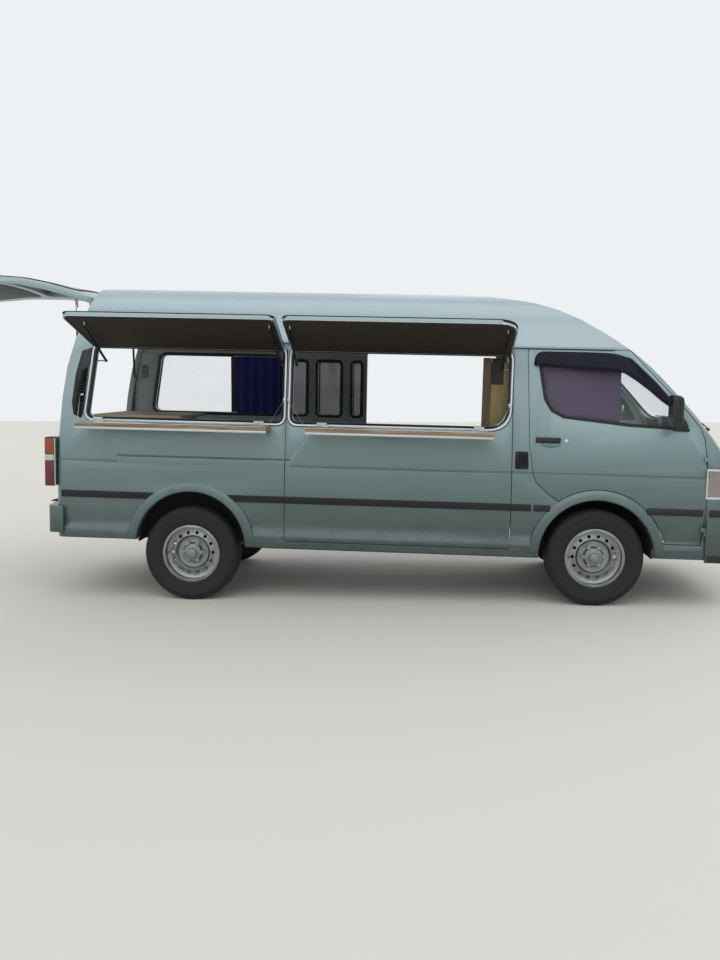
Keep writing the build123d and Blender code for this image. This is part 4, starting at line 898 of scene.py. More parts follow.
# Front doors, drawn on the right side and mirrored for the left
window = {"radius": 0.07, "rubberOut": -0.003, "rubber": (0.004, -0.019), "film": 3.027, "filmOut": -0.0172}
deflectorTop = [(2.411, 1.692), (2.423, 1.749), (2.456, 1.777), (2.518, 1.781), (2.86, 1.78), (3.0, 1.766),
                (3.107, 1.712), (3.248, 1.578), (3.347, 1.468), (3.4, 1.405)]
deflectorLow = [(2.424, 1.679), (2.432, 1.681), (2.452, 1.682), (2.52, 1.678), (2.755, 1.66), (2.985, 1.65),
                (3.075, 1.612), (3.19, 1.532), (3.29, 1.452), (3.384, 1.392)]
mirrorSize = {"back": 3.323, "y": (0.862, 1.012), "z": (1.268, 1.502), "glass": 0.012, "corner": 0.034,
              "sections": ((0.0, 0.97), (0.004, 1.0), (0.03, 1.0), (0.05, 0.94), (0.066, 0.8), (0.075, 0.55),
                           (0.076, 0.25)),
              "foot": [(3.372, 1.256), (3.498, 1.252), (3.452, 1.318), (3.39, 1.415)],
              "armHalf": (0.028, 0.016),
              "arm": ((3.42, -0.815, 1.302, 1.2), (3.41, -0.84, 1.304, 1.0), (3.385, -0.868, 1.32, 0.8),
                      (3.37, -0.885, 1.335, 0.7))}
doorStrip = {"spans": ((2.443, 2.557), (3.224, 3.604)), "y": (-0.8555, -0.838), "z": (0.669, 0.715)}
handle = {"x": 2.526, "z": 1.167, "lockX": 2.652, "lockZ": 1.166}
sideLean = atan2(chassis["creaseY"] - chassis["gutterY"], chassis["gutterZ"] - chassis["creaseZ"])


def smoothLine(points, count):  # points along the soft curve through a few given ones
    points = [Vector(p) for p in points]
    ends = [2 * points[0] - points[1]] + points + [2 * points[-1] - points[-2]]
    line = []
    for k in range(count + 1):
        t = k / count * (len(points) - 1)
        i = min(int(t), len(points) - 2)
        a, b, c, d = ends[i:i + 4]
        t -= i
        square, cube = 2 * a - 5 * b + 4 * c - d, 3 * b - a - 3 * c + d
        line.append(0.5 * (2 * b + (c - a) * t + square * t ** 2 + cube * t ** 3))
    return line


def onSkin(x, z, out=0.0):  # frame on the right side with Z up the leaning skin and -Y outwards
    return Matrix.Translation((x, -skinY(z) - out, z)) @ Matrix.Rotation(-sideLean, 4, "X")


def bothSides(piece, name, material, bodies=("body", "body"), stands=()):
    # a piece drawn on the right side, and its mirror image on the left
    twin = copyOf(piece)
    mirrored = Matrix.Scale(-1, 4, (0, 1, 0))
    for one, way, side, body in ((piece, Matrix(), "Right", bodies[0]), (twin, mirrored, "Left", bodies[1])):
        one.matrix_world = way @ one.matrix_world
        held = [node + "_" + side.lower() for node in stands]
        finished(one, name + side, material, body=body, stands=held)


# The dish behind each door handle is pressed into the CAD skin
doors = ("door_right", "door_left")
scoop = {"x": 2.5435, "z": 1.138, "half": (0.066, 0.014, 0.021)}
for side, node in ((rightSide, "door_right"), (leftSide, "door_left")):
    deselectAll()
    bpy.ops.mesh.primitive_uv_sphere_add(segments=32, ring_count=16, radius=1, scale=scoop["half"])
    dish = settle(bpy.context.active_object,
                  bodyPlace @ Matrix.Scale(-side, 4, (0, 1, 0)) @ onSkin(scoop["x"], scoop["z"]))
    runModifier(bpy.data.objects[node + "Finish"], "BOOLEAN", operation="DIFFERENCE", object=dish,
                solver="EXACT")
    bpy.data.objects.remove(dish)
shape = outlines["doorWindow"]
outer = sideLoop(shape, rightSide, window["rubberOut"], window["rubber"][0], 0.03)
inner = sideLoop(shape, rightSide, window["rubberOut"], window["rubber"][1], window["radius"])
rubber = band(outer, inner, 0.012, 0.003)
bothSides(rubber, "doorWindowRubber", blackRubber, doors)
filmShape = shape[:5] + [(window["film"], 1.285), (window["film"], 1.758)] + shape[-2:]
film = plate(sideLoop(filmShape, rightSide, window["filmOut"], -0.012, 0.03), 0.0006)
bothSides(film, "windowFilm", purpleGlass, doors)
rows = []
top, low = (smoothLine([(x, z, 0) for x, z in line], 60) for line in (deflectorTop, deflectorLow))
for share, out in ((0.0, 0.0015), (0.12, 0.009), (0.45, 0.021), (0.85, 0.027), (1.0, 0.0255)):
    row = []
    for k, (x, z, flat) in enumerate(a.lerp(b, share) for a, b in zip(top, low)):
        row.append((x, -skinY(z) - out * min(1.0, 0.3 + k / 8, 0.3 + (60 - k) / 8), z))
    rows.append(row)
bothSides(loft(rows, 0.003, 0.0008), "windDeflector", smokedGlass, doors)

# Mirror: a soft-cornered shell on a triangular foot
backX, (nearY, farY), (lowZ, topZ) = (mirrorSize[key] for key in ("back", "y", "z"))
midY, midZ = -(nearY + farY) / 2, (lowZ + topZ) / 2
loops = []
for reach, share in mirrorSize["sections"]:
    x = backX + reach
    halfY, halfZ = (farY - nearY) / 2 * share, (topZ - lowZ) / 2 * (0.35 + 0.65 * share)
    loops.append(roundedLoop([(x, midY - halfY, midZ - halfZ), (x, midY + halfY, midZ - halfZ),
                              (x, midY + halfY, midZ + halfZ), (x, midY - halfY, midZ + halfZ)],
                             mirrorSize["corner"] * share))
shell = closedLoft(loops)
foot = plate(sideLoop(mirrorSize["foot"], rightSide, 0.006, 0.0, 0.012), 0.014, 0.004)
angles = [2 * pi * k / 16 for k in range(16)]
halfX, halfZ = mirrorSize["armHalf"]
arm = closedLoft([[Vector((x + halfX * cos(a) * wide, y, z + halfZ * sin(a))) for a in angles]
                  for x, y, z, wide in mirrorSize["arm"]])
strips = []
(y0, y1), (z0, z1) = doorStrip["y"], doorStrip["z"]
for x0, x1 in doorStrip["spans"]:
    strips.append(slab((x0, y0, z0), (x1, y1, z1), 0.005, 3))
    strips.append(slab((x0 + 0.004, y0 - 0.0015, 0.688), (x1 - 0.004, y0 + 0.0055, 0.697), 0.002, 2))
place = onSkin(handle["x"], handle["z"])
flap = settle(slab((-0.086, -0.017, -0.019), (0.086, 0.003, 0.019), 0.007, 4), place)
lift = settle(slab((-0.05, -0.021, -0.012), (0.074, -0.012, 0.006), 0.004, 3), place)
bothSides(joinUp([shell, foot, arm, flap, lift] + strips), "doorTrim", blackPlastic, doors,
          stands=["door_trim"])
rim = mirrorSize["glass"]
glassFace = plate(roundedLoop([(backX - 0.001, -nearY - rim, lowZ + rim),
                               (backX - 0.001, -farY + rim, lowZ + rim),
                               (backX - 0.001, -farY + rim, topZ - rim),
                               (backX - 0.001, -nearY - rim, topZ - rim)],
                              0.024), 0.002)
bothSides(glassFace, "mirrorGlass", mirrorGlass, doors)
lock = spun([(0.0, 0.002, 0), (0.006, 0.0024, 0), (0.0105, 0.0012, 0), (0.0115, -0.002, 0),
             (0.0, -0.002, 0)], 24, closed=False)
settle(lock, onSkin(handle["lockX"], handle["lockZ"]) @ Matrix.Rotation(pi, 4, "Z"))
bothSides(lock, "doorLock", bareSteel, doors)
print("doors")

# Louvres in the black panel behind the rear opening and in the vent before each front door
louvre = {"count": 7, "quarterZ": 1.352, "quarterStep": 0.021, "quarterTurn": 24, "ventX": 2.356,
          "ventZ": 0.985, "ventStep": 0.0132, "ventTurn": 26, "out": 0.006}
slats, parts = [], []
for k in range(louvre["count"]):
    z = louvre["quarterZ"] + louvre["quarterStep"] * k
    x = -0.845 + (z - 1.345) * 0.12  # the panel's rear edge leans forwards
    turned = Matrix.Rotation(radians(louvre["quarterTurn"]), 4, "X")
    slats.append(settle(slab((-0.03, -0.004, -0.003), (0.03, 0.006, 0.004), 0.0015),
                        onSkin(x + 0.03, z, louvre["out"]) @ turned))
    z = louvre["ventZ"] + louvre["ventStep"] * k
    turned = Matrix.Rotation(radians(louvre["ventTurn"]), 4, "X")
    parts.append(settle(slab((-0.032, -0.005, -0.0025), (0.032, 0.006, 0.004), 0.0015),
                        onSkin(louvre["ventX"], z, louvre["out"]) @ turned))
finished(joinUp(slats), "quarterLouvres", blackPlastic)
vent = [(2.303, 1.084), (2.303, 0.962), (2.398, 0.962), (2.392, 1.084)]
parts.append(tube(sideLoop(vent, rightSide, 0.005, -0.004, 0.014), 0.0035))
bothSides(joinUp(parts), "doorVent", blackPlastic)

# Black rubber seal along each side under the rain gutter; its dark line is partly painted shade for the drip
# rail's shadow
gutterLine = [(-0.6, -0.7795, 1.8), (1.2, -0.7805, 1.8), (2.96, -0.7795, 1.8)]
bothSides(tube(gutterLine, 0.0042, False), "gutterShadowSeal", blackRubber)
print("side fittings")

# Windscreen, its seal, cowl and wipers
screen = {"radius": 0.09, "rubber": (0.012, -0.016), "out": 0.0015, "cowlLow": 1.247, "cowlTop": 1.277,
          "wipers": ((-0.60, 0.06), (-0.02, 0.60)), "pivotZ": 1.262, "elbowZ": 1.318, "bladeZ": 1.296,
          "bladeRise": 0.022}
outer, inner = (endLoop(outlines["windscreen"], onNose, screen["out"], grow, screen["radius"])
                for grow in screen["rubber"])


def evenLoop(loop, count):  # the same closed loop with a given number of points at even distances
    loop = [Vector(point) for point in loop] + [Vector(loop[0])]
    lengths = [0.0]
    for a, b in zip(loop, loop[1:]):
        lengths.append(lengths[-1] + (b - a).length)
    even, i = [], 0
    for k in range(count):
        target = lengths[-1] * k / count
        while lengths[i + 1] < target:
            i += 1
        share = (target - lengths[i]) / max(1e-9, lengths[i + 1] - lengths[i])
        even.append(loop[i].lerp(loop[i + 1], share))
    return even


finished(band(evenLoop(outer, 120), evenLoop(inner, 120), 0.008, 0.002), "windscreenSeal", blackRubber)
ys = [-0.7 + 1.4 * k / 36 for k in range(37)]
cowl = loft([[onNose(y, z, out) for y in ys]
             for z, out in ((screen["cowlLow"], 0.0012), (screen["cowlLow"] + 0.006, 0.006),
                            (screen["cowlTop"] - 0.005, 0.007), (screen["cowlTop"], 0.0015))], 0.002)
grates = [settle(slab((-0.0015, -0.002, 0), (0.0075, 0.002, 0.018)),
                 Matrix.Translation(onNose(y - 0.009, screen["cowlLow"] + 0.007, 0.004))) for y in ys[2:-2]]
wipers = []
for pivotY, tipY in screen["wipers"]:
    foot = Vector(onNose(pivotY, screen["pivotZ"], 0.006))
    raised = Vector(onNose(pivotY, screen["pivotZ"], 0.034))
    wipers.append(bar(foot, raised, 0.011, 20, 0.003))
    armEnd = Vector(onNose((pivotY + tipY) / 2 + 0.03, screen["elbowZ"], 0.03))
    wipers.append(tube([raised, raised.lerp(armEnd, 0.5) + Vector((0.012, 0, 0.004)), armEnd], 0.0045, False))
    blade = [Vector(onNose(pivotY + (tipY - pivotY) * (0.1 + 0.9 * k / 12),
                           screen["bladeZ"] + screen["bladeRise"] * k / 12, 0.009)) for k in range(13)]
    wipers.append(tube(blade, 0.0042, False))
    lift = Vector((0.012, 0, 0.006))
    wipers.append(tube([point + lift for point in blade[2:11]], 0.003, False))
    wipers += [bar(blade[k], blade[k] + lift, 0.0028, 8) for k in (2, 6, 10)]
finished(joinUp([cowl] + grates + wipers), "cowlAndWipers", blackPlastic)

# Headlamps: ribbed lens over the bright bowl, in a white bezel that wraps round the corner
lampPlace = {"top": 0.998, "low": 0.792, "inner": 0.505, "back": 3.624, "columns": 40, "rows": 6,
             "lens": (0.03, 0.97), "bezel": (0.012, 0.985), "turnLens": (0.66, 0.955), "divider": 0.62,
             "bowl": 0.28}


def noseRound(t, z, out):  # point at a share t of the way from the lamp's inner edge round to its back edge
    half, corner = noseBow["half"] - 0.0015, noseBow["corner"]
    base = along(noseProfile, z)
    start, end = lampPlace["inner"], half - corner
    arc = corner * radians(86)
    straight = base + bowed(noseBow, half) - lampPlace["back"]
    total = (end - start) + arc + straight
    s = t * total
    if s < end - start:
        return (base + bowed(noseBow, start + s) + out, -(start + s), z)
    s -= end - start
    centreX = base + bowed(noseBow, end) - corner
    if s < arc:
        a = s / corner
        return (centreX + (corner + out) * cos(a), -(end + (corner + out) * sin(a)), z)
    return (centreX - (s - arc), -(half + out), z)


def wrapRow(t0, t1, z, out):
    columns = lampPlace["columns"]
    return [noseRound(t0 + (t1 - t0) * k / columns, z, out) for k in range(columns + 1)]


def wrapRows(t0, t1, z0, z1, out):
    rows = lampPlace["rows"]
    return [wrapRow(t0, t1, z0 + (z1 - z0) * r / rows, out) for r in range(rows + 1)]


top, low = lampPlace["top"], lampPlace["low"]
lens = loft(wrapRows(*lampPlace["lens"], low + 0.014, top - 0.014, 0.0045), 0.0025)
bothSides(lens, "headlampLens", lampGlass)
start, end = lampPlace["bezel"]
bezel = [tube(wrapRow(start, end, top - 0.006, 0.004) + wrapRow(end, start, low + 0.006, 0.004), 0.0065)]
divider = [noseRound(lampPlace["divider"], low + 0.01 + (top - low - 0.02) * k / 6, 0.0045) for k in range(7)]
bezel.append(tube(divider, 0.004, False))
bothSides(joinUp(bezel), "headlampBezel", whiteMoulding)
turnLens = loft(wrapRows(*lampPlace["turnLens"], low + 0.018, top - 0.018, 0.0018), 0.0015)
bothSides(turnLens, "frontTurnLens", amberLens)
place = Vector(noseRound(lampPlace["bowl"], (top + low) / 2, 0.001))
bowl = spun([(0.012, -0.012, 0), (0.05, -0.004, 0), (0.078, 0.0, 0), (0.082, 0.0025, 0), (0.085, 0.0, 0),
             (0.085, -0.003, 0), (0.012, -0.016, 0)], 48)
settle(bowl, Matrix.Translation(place) @ Matrix.Rotation(radians(-94), 4, "Z"))
bothSides(bowl, "headlampBowl", chromeMetal)

# Grille bars with a rim that follow the nose, and the bumper's strip, intake and corner lamps
grille = {"rim": [(-0.43, 0.815), (0.43, 0.815), (0.43, 0.975), (-0.43, 0.975)], "half": 0.405,
          "bars": (0.858, 0.886, 0.914, 0.942),
          "barSection": ((-0.004, 0.0), (-0.003, 0.005), (0.003, 0.005), (0.004, 0.0))}
bars = [tube(endLoop(grille["rim"], onNose, 0.003, -0.002, 0.025), 0.006)]
ys = [-grille["half"] + 2 * grille["half"] * k / 30 for k in range(31)]
for z in grille["bars"]:
    bars.append(loft([[onNose(y, z + dz, out) for y in ys] for dz, out in grille["barSection"]], 0.001))
finished(joinUp(bars), "grilleBars", blackPlastic)
bumperFace = {"height": 0.557, "out": 0.0305, "curve": 3.6, "half": 0.852, "corner": 0.085, "back": 3.645,
              "columns": 18, "intake": [(-0.42, 0.46, 0), (0.42, 0.46, 0), (0.40, 0.57, 0), (-0.40, 0.57, 0)],
              "bars": (0.488, 0.515, 0.542), "lamp": (0.56, 0.70),
              "strip": ((0.668, -0.001), (0.67, 0.007), (0.68, 0.009), (0.704, 0.009), (0.714, 0.007),
                        (0.716, -0.001)),
              "lip": ((0.346, -0.004), (0.35, 0.006), (0.372, 0.008), (0.39, 0.006), (0.394, 0.0)),
              "barSection": ((-0.003, 0.001), (-0.002, 0.007), (0.002, 0.007), (0.003, 0.001)),
              "lampSection": ((0.585, -0.004), (0.588, 0.002), (0.63, 0.002), (0.633, -0.004))}
bumperX = along(noseProfile, bumperFace["height"]) + bumperFace["out"]


def bumperLine(z, out):  # round the front bumper from one side's back edge to the other's
    half, corner, back, columns = (bumperFace[key] for key in ("half", "corner", "back", "columns"))
    start = half - corner
    centreX = bumperX + bowed(bumperFace, start) - corner
    side = [(back + (centreX - back) * k / 4, -(half + out)) for k in range(4)]
    turn = [(centreX + (corner + out) * cos(a), -(start + (corner + out) * sin(a)))
            for a in (radians(90 - 84 * k / 10) for k in range(11))]
    front = [(bumperX + bowed(bumperFace, start * (1 - k / columns)) + out, -start * (1 - k / columns))
             for k in range(1, columns + 1)]
    half = side + turn + front
    return [(x, y, z) for x, y in half] + [(x, -y, z) for x, y in reversed(half[:-1])]


def onBumper(y, z, out):
    return (bumperX + bowed(noseBow, y) + out, y, z)


strips = [loft([bumperLine(z, out) for z, out in bumperFace[key]], 0.0015) for key in ("strip", "lip")]
finished(joinUp(strips), "bumperStrips", blackPlastic)
intakeLoop = divided(roundedLoop(bumperFace["intake"], 0.03), 0.05)
intake = plate([onBumper(y, z, 0.0015) for y, z, flat in intakeLoop], 0.003, 0.001)
intakeBars = [loft([[onBumper(y, z + dz, out) for y in ys] for dz, out in bumperFace["barSection"]], 0.001)
              for z in bumperFace["bars"]]
finished(joinUp([intake] + intakeBars), "bumperIntake", blackPlastic)
y0, y1 = bumperFace["lamp"]
bow = [onBumper(-(y0 + (y1 - y0) * k / 8), 0, 0.004) for k in range(9)]
cornerLamp = loft([[(x + dx, y, z) for x, y, flat in bow] for z, dx in bumperFace["lampSection"]], 0.002)
bothSides(cornerLamp, "cornerLamp", amberLens)
print("nose fittings")

# Rear corners: amber over white over red, ribbed, with dark joints between
tail = {"rear": -1.06, "front": -1.004, "side": 0.844, "inner": 0.737}
for word, z0, z1, material in (("Amber", 0.973, 1.087, amberLens), ("White", 0.924, 0.971, whiteLens),
                               ("Red", 0.748, 0.922, redLens)):
    block = slab((tail["rear"] - 0.0035, -tail["side"] - 0.0025, z0),
                 (tail["front"] + 0.012, -tail["inner"], z1), 0.006, 4)
    bothSides(block, "tailLamp" + word, material)
housing = slab((tail["rear"] - 0.002, -tail["side"] - 0.0012, 0.742),
               (tail["front"] + 0.014, -tail["inner"] + 0.004, 1.093), 0.004, 3)
bothSides(housing, "tailLampHousing", blackPlastic)

# Tailgate, drawn shut and then raised: glass seal, inner lining, catch and handle; bumper step pad
outer, inner = (evenLoop(endLoop(outlines["tailWindow"], onTail, 0.0, grow, 0.08), 110)
                for grow in (0.008, -0.02))
finished(band(outer, inner, 0.012, 0.003), "tailgateSeal", blackRubber, tailPlace, "tailgate")
tailBoard = [(-0.6, 1.24), (-0.655, 0.68), (0.655, 0.68), (0.6, 1.24)]
tailLining = plate(evenLoop(endLoop(tailBoard, onTail, -0.0475, 0.0, 0.05), 80), 0.004, 0.0015)
finished(tailLining, "tailgateLining", cabPlastic, tailPlace, "tailgate")
catch = slab((-1.058, -0.14, 1.13), (-1.03, 0.14, 1.185), 0.008, 4)
finished(catch, "tailgateHandle", blackPlastic, tailPlace, "tailgate")
arm = [bar(onTail(0.0, 1.262, 0.004), onTail(0.0, 1.262, 0.032), 0.013, 20, 0.003),
       tube([onTail(0.0, 1.262, 0.03), onTail(0.12, 1.3, 0.034), onTail(0.25, 1.34, 0.026)], 0.0045, False),
       tube([onTail(-0.02 + 0.05 * k, 1.318 + 0.004 * k, 0.012) for k in range(10)], 0.0048, False)]
finished(joinUp(arm), "rearWiper", blackPlastic, tailPlace, "tailgate")
pad = slab((-1.112, -0.62, 0.597), (-1.06, 0.62, 0.605), 0.003, 2)
ribs = [slab((-1.108, -0.6 + 0.05 * k - 0.004, 0.603), (-1.066, -0.6 + 0.05 * k + 0.004, 0.6075), 0.0015)
        for k in range(25)]
finished(joinUp([pad] + ribs), "bumperStepPad", blackRubber)
print("tail fittings")

# Far windows: rubber and a bright line round each, clear glass at the rear and privacy glass in the slid door
farWindow = {"panes": [(0.425, 0.628), (0.727, 0.929), (1.03, 1.108)], "low": 1.242, "top": 1.709,
             "inner": -0.053, "radius": 0.03, "rearRadius": 0.055, "glass": -0.0125, "paneGlass": 0.0515}
panes = [[(x0, farWindow["top"]), (x0, farWindow["low"]), (x1, farWindow["low"]), (x1, farWindow["top"])]
         for x0, x1 in farWindow["panes"]]
rubbers, brightLines = [], []
openings = [(outlines["rearWindow"], farWindow["rearRadius"], 0.002)]
openings += [(pane, farWindow["radius"], chassis["slideOut"] + 0.002) for pane in panes]
for outline, radius, outer in openings:
    for out, wide, narrow in ((farWindow["inner"], 0.019, -0.006), (outer, 0.012, -0.008)):
        rubbers.append(band(sideLoop(outline, leftSide, out, wide, radius),
                            sideLoop(outline, leftSide, out, narrow, radius), 0.009, 0.0025))
    brightLines.append(tube(sideLoop(outline, leftSide, farWindow["inner"] - 0.003, -0.0075, radius), 0.0022))
post = [(-0.04, 1.746), (-0.04, 1.236), (0.03, 1.236), (0.03, 1.746)]
divider = plate(sideLoop(post, leftSide, -0.046, 0.0, 0.004), 0.014, 0.003)
finished(joinUp(rubbers + [divider]), "farWindowRubber", blackRubber)
finished(joinUp(brightLines), "farWindowTrim", trimMetal)
rearPane = sideLoop(outlines["rearWindow"], leftSide, farWindow["glass"], -0.001, farWindow["rearRadius"])
finished(plate(rearPane, 0.005), "rearSideGlass", clearGlass, stands=["side_glass"])
doorPanes = [plate(sideLoop(pane, leftSide, farWindow["paneGlass"], -0.001, farWindow["radius"]), 0.005)
             for pane in panes]
finished(joinUp(doorPanes), "slidDoorGlass", privacyGlass)

# Trims over the rear pillars, with a small air louvre in each
pillar = {"points": [(-0.87, 1.75), (-0.9, 1.5), (-0.905, 1.238), (-0.76, 1.236), (-0.68, 1.746)],
          "out": -0.0555, "louvre": (-0.806, 0.031), "slats": [1.54 + 0.0165 * k for k in range(7)]}
trims, slots = [], []
nearPoints = pillar["points"][:3] + [(-0.797, 1.238), (-0.734, 1.746)]
for side, points in ((leftSide, pillar["points"]), (rightSide, nearPoints)):
    trims.append(plate(sideLoop(points, side, pillar["out"], 0.0, 0.03), 0.006, 0.002))
    middle, half = pillar["louvre"]
    for z in pillar["slats"]:
        slot = slab((-half, -0.002, -0.0045), (half, 0.004, 0.0045), 0.0015)
        y = side * (skinY(z) + pillar["out"] - 0.0035)
        slots.append(settle(slot, Matrix.Translation((middle, y, z))))
finished(joinUp(trims), "rearPillarTrims", greyTrim)
finished(joinUp(slots), "pillarLouvres", blackPlastic)

# Blue-purple cloth hung on a wire before the covered part of the far window
cloth = {"x": (0.02, 0.4), "z": (1.246, 1.735), "folds": 4.5, "depth": 0.006, "out": -0.069, "columns": 96,
         "rows": 26, "thickness": 0.0012}
rows = []
for r in range(cloth["rows"] + 1):
    share = r / cloth["rows"]
    z = cloth["z"][1] + (cloth["z"][0] - cloth["z"][1]) * share
    line = []
    for k in range(cloth["columns"] + 1):
        t = k / cloth["columns"]
        wave = sin(2 * pi * cloth["folds"] * t + 0.7 * sin(2.6 * share))
        fold = cloth["depth"] * (0.4 + 0.6 * share) * wave
        x = cloth["x"][0] + (cloth["x"][1] - cloth["x"][0]) * (t + 0.004 * sin(5 * share + 9 * t))
        line.append((x, skinY(z) + cloth["out"] + fold, z))
    rows.append(line)
wireZ = cloth["z"][1] + 0.004
wireY = skinY(wireZ) + cloth["out"]
x0, x1 = cloth["x"]
wires = [bar((x0 - 0.025, wireY, wireZ), (x1 + 0.025, wireY, wireZ), 0.0028, 12, 0.0006)]
for x in (x0 - 0.02, x1 + 0.02):
    wires.append(bar((x, wireY, wireZ), (x, wireY + 0.02, wireZ), 0.0035, 12, 0.0008))
finished(joinUp(wires), "clothWire", bareSteel)
hung = finished(loft(rows, cloth["thickness"]), "hungCloth", purpleCloth)

# Brown post at the cabinet's edge, with a dark plate above its olive side as painted shade over the top of
# the board
post = slab((2.066, -0.739, 0.621), (2.121, -0.702, 1.73), 0.004, 3)
finished(post, "cabinetPost", brownBoard)
# Painted shade: a dark plate laid over the board's upper part
upper = slab((2.122, -0.7332, 1.545), (2.21, -0.7296, 1.729), 0.001)
finished(upper, "cabinetShadePlate", brownLining)
bench = slab((-0.7285, -0.7655, 1.2435), (-0.0895, -0.0395, 1.2656), 0.002, 3)
finished(bench, "benchBoard", paleBoard)
print("far windows, cloth and cabinet")

# Seats: foam pads swelled inside their covers, with piping and sewn channels
seat = {"voxel": 0.019, "pressure": 5.0, "cap": 0.018, "frames": 10, "inset": 0.012, "channel": 0.006,
        "channelWidth": 0.008, "piping": 0.0035, "rake": 14.5, "front": 3.05, "rear": 2.56,
        "cushionZ": (0.852, 0.985), "rimZ": 0.955, "seamX": 2.9, "seamZ": 1.16, "seams": (0.27, 0.25),
        "backFoot": (2.61, 0, 0.99), "backHalf": 0.05, "backHeight": 0.515, "restX": (2.425, 2.492),
        "restZ": (1.54, 1.69), "restHalf": 0.112, "restVoxel": 0.012, "restCap": 0.008, "stemApart": 0.045}
seatRows = [(-0.64, -0.12), (-0.06, 0.64)]


def puffed(piece, voxel, cap):  # the pad swells a little, as foam does in a sewn cover
    runModifier(piece, "REMESH", mode="VOXEL", voxel_size=voxel)
    before = [vertex.co.copy() for vertex in piece.data.vertices]
    takeUp(piece)
    swell = piece.modifiers.new("Swell", "CLOTH")
    swell.settings.use_pressure = True
    swell.settings.uniform_pressure_force = seat["pressure"]
    swell.settings.effector_weights.gravity = 0
    for step in range(1, seat["frames"] + 1):
        bpy.context.scene.frame_set(step)
    bpy.ops.object.modifier_apply(modifier=swell.name)
    bpy.context.scene.frame_set(1)
    for vertex, start in zip(piece.data.vertices, before):
        moved = vertex.co - start
        if moved.length > cap:
            vertex.co = start + moved.normalized() * cap
    return runModifier(piece, "SUBSURF", levels=1, render_levels=1)


def grooved(piece, lines, face):  # press sewn channels into the faces that look along a direction
    face = Vector(face)
    piece.data.update()
    for vertex in piece.data.vertices:
        if vertex.normal.dot(face) < 0.35:
            continue
        for axis, value in lines:
            away = abs(vertex.co["xyz".index(axis)] - value)
            vertex.co -= face * seat["channel"] * 2.718 ** (-(away / seat["channelWidth"]) ** 2)
    return piece


def piped(piece, loop):  # piping that follows the pad's own surface
    points = []
    for point in loop:
        hit, place, normal, index = piece.closest_point_on_mesh(Vector(point))
        points.append(place + normal * 0.001)
    return tube(points, seat["piping"])


cushions = []
n = seat["inset"]
tilted = Matrix.Translation(seat["backFoot"]) @ Matrix.Rotation(radians(-seat["rake"]), 4, "Y")
facing = Vector((cos(radians(seat["rake"])), 0, sin(radians(seat["rake"]))))
(x0, x1), (z0, z1) = (seat["rear"], seat["front"]), seat["cushionZ"]
half, height = seat["backHalf"], seat["backHeight"]
for number, (y0, y1) in enumerate(seatRows):
    middle = (y0 + y1) / 2
    width = y1 - y0
    base = puffed(slab((x0 + n, y0 + n, z0), (x1 - n, y1 - n, z1 - n), 0.035, 5), seat["voxel"], seat["cap"])
    seam = width * seat["seams"][0]
    lines = [("y", y0 + seam), ("y", y1 - seam), ("x", seat["seamX"])]
    if width > 0.6:  # the double seat has a channel between its two places
        lines.append(("y", middle))
    grooved(base, lines, (0, 0, 1))
    rim = roundedLoop([(x, y, seat["rimZ"]) for x, y in ((x0, y0), (x1, y0), (x1, y1), (x0, y1))], 0.05, 8)
    cushions.append((base, "seatCushion%d" % number, piped(base, divided(rim, 0.03)), 0.9))
    back = settle(slab((n / 2 - half, y0 + n, 0.0), (half - n / 2, y1 - n, height), 0.03, 5), tilted)
    back = puffed(back, seat["voxel"], seat["cap"])
    seam = width * seat["seams"][1]
    grooved(back, [("y", y0 + seam), ("y", y1 - seam), ("z", seat["seamZ"])], facing)
    edge = [tilted @ Vector((0.03, y, z)) for y, z in ((y0, 0.01), (y1, 0.01), (y1, height), (y0, height))]
    rim = divided(roundedLoop(edge, 0.05, 8), 0.03)
    cushions.append((back, "seatBack%d" % number, piped(back, rim), 0.85))
    low, high = ((x, middle + side * seat["restHalf"], z)
                 for x, side, z in zip(seat["restX"], (-1, 1), seat["restZ"]))
    rest = puffed(slab(low, high, 0.028, 5), seat["restVoxel"], seat["restCap"])
    cushions.append((rest, "headRest%d" % number, None, 0.9))
stems = []
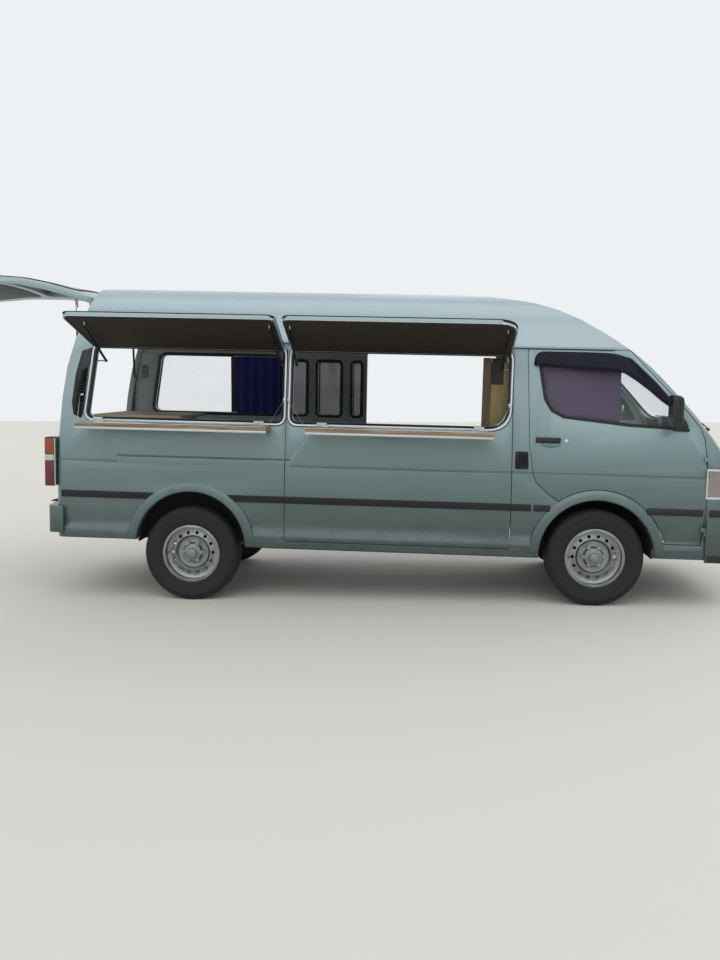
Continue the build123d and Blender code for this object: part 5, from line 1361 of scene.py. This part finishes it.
for y0, y1 in seatRows:
    for dy in (-seat["stemApart"], seat["stemApart"]):
        y = (y0 + y1) / 2 + dy
        stems.append(bar((2.468, y, 1.47), (2.46, y, 1.56), 0.0055, 14, 0.001))
    stems.append(slab((2.57, y0 + 0.03, 0.8495), (3.03, y1 - 0.03, 0.8575), 0.002))
for piece, name, piping, fill in cushions:
    if piping:
        finished(piping, name + "Piping", blackRubber)
    stands = ["seats"] if name == "seatCushion0" else ()
    pad = finished(piece, name, seatCloth, stands=stands, smooth=60)
finished(joinUp(stems), "seatFrames", castIron)
print("seats")

# Inside: linings on the far wall, the ceiling and the pillars, cut from the inner faces of the panels
inside = {"roof": ("ceilingLining", brownLining, "body", "Z", -0.25),
          "side_panel_left": ("sideLining", greyTrim, "body", "Y", -0.5),
          "side_panel_right": ("nearSideLining", greyTrim, "body", "Y", 0.5),
          "slide_door_left": ("farDoorLining", darkLining, "body", "Y", -0.5),
          "slide_door_right": ("nearDoorLining", darkLining, "body", "Y", 0.5),
          "door_left": ("doorCardLeft", greyTrim, "door_left", "Y", -0.5),
          "door_right": ("doorCardRight", greyTrim, "door_right", "Y", 0.5)}
rakeBack = bodyPlace.inverted()
for node, (name, material, body, axis, reach) in inside.items():
    source = bpy.data.objects[node + "Finish"]
    takeUp(source)
    for edge in source.data.edges:
        edge.select = False
    for vertex in source.data.vertices:
        vertex.select = False
    for face in source.data.polygons:
        normal = rakeBack.to_3x3() @ face.normal
        towards = normal["XYZ".index(axis)]
        centre = rakeBack @ face.center
        outside = abs(centre.y) > skinY(max(centre.z, 0.94)) - 0.022 if axis == "Y" else False
        face.select = (towards < reach if reach < 0 else towards > reach) and not outside
    if not any(face.select for face in source.data.polygons):
        continue
    bpy.ops.object.mode_set(mode="EDIT")
    bpy.ops.mesh.select_mode(type="FACE")
    bpy.ops.mesh.separate(type="SELECTED")
    bpy.ops.object.mode_set(mode="OBJECT")
    lining = [one for one in bpy.context.selected_objects if one is not source][0]
    handOver(freed(lining), name, material, body)
print("linings")
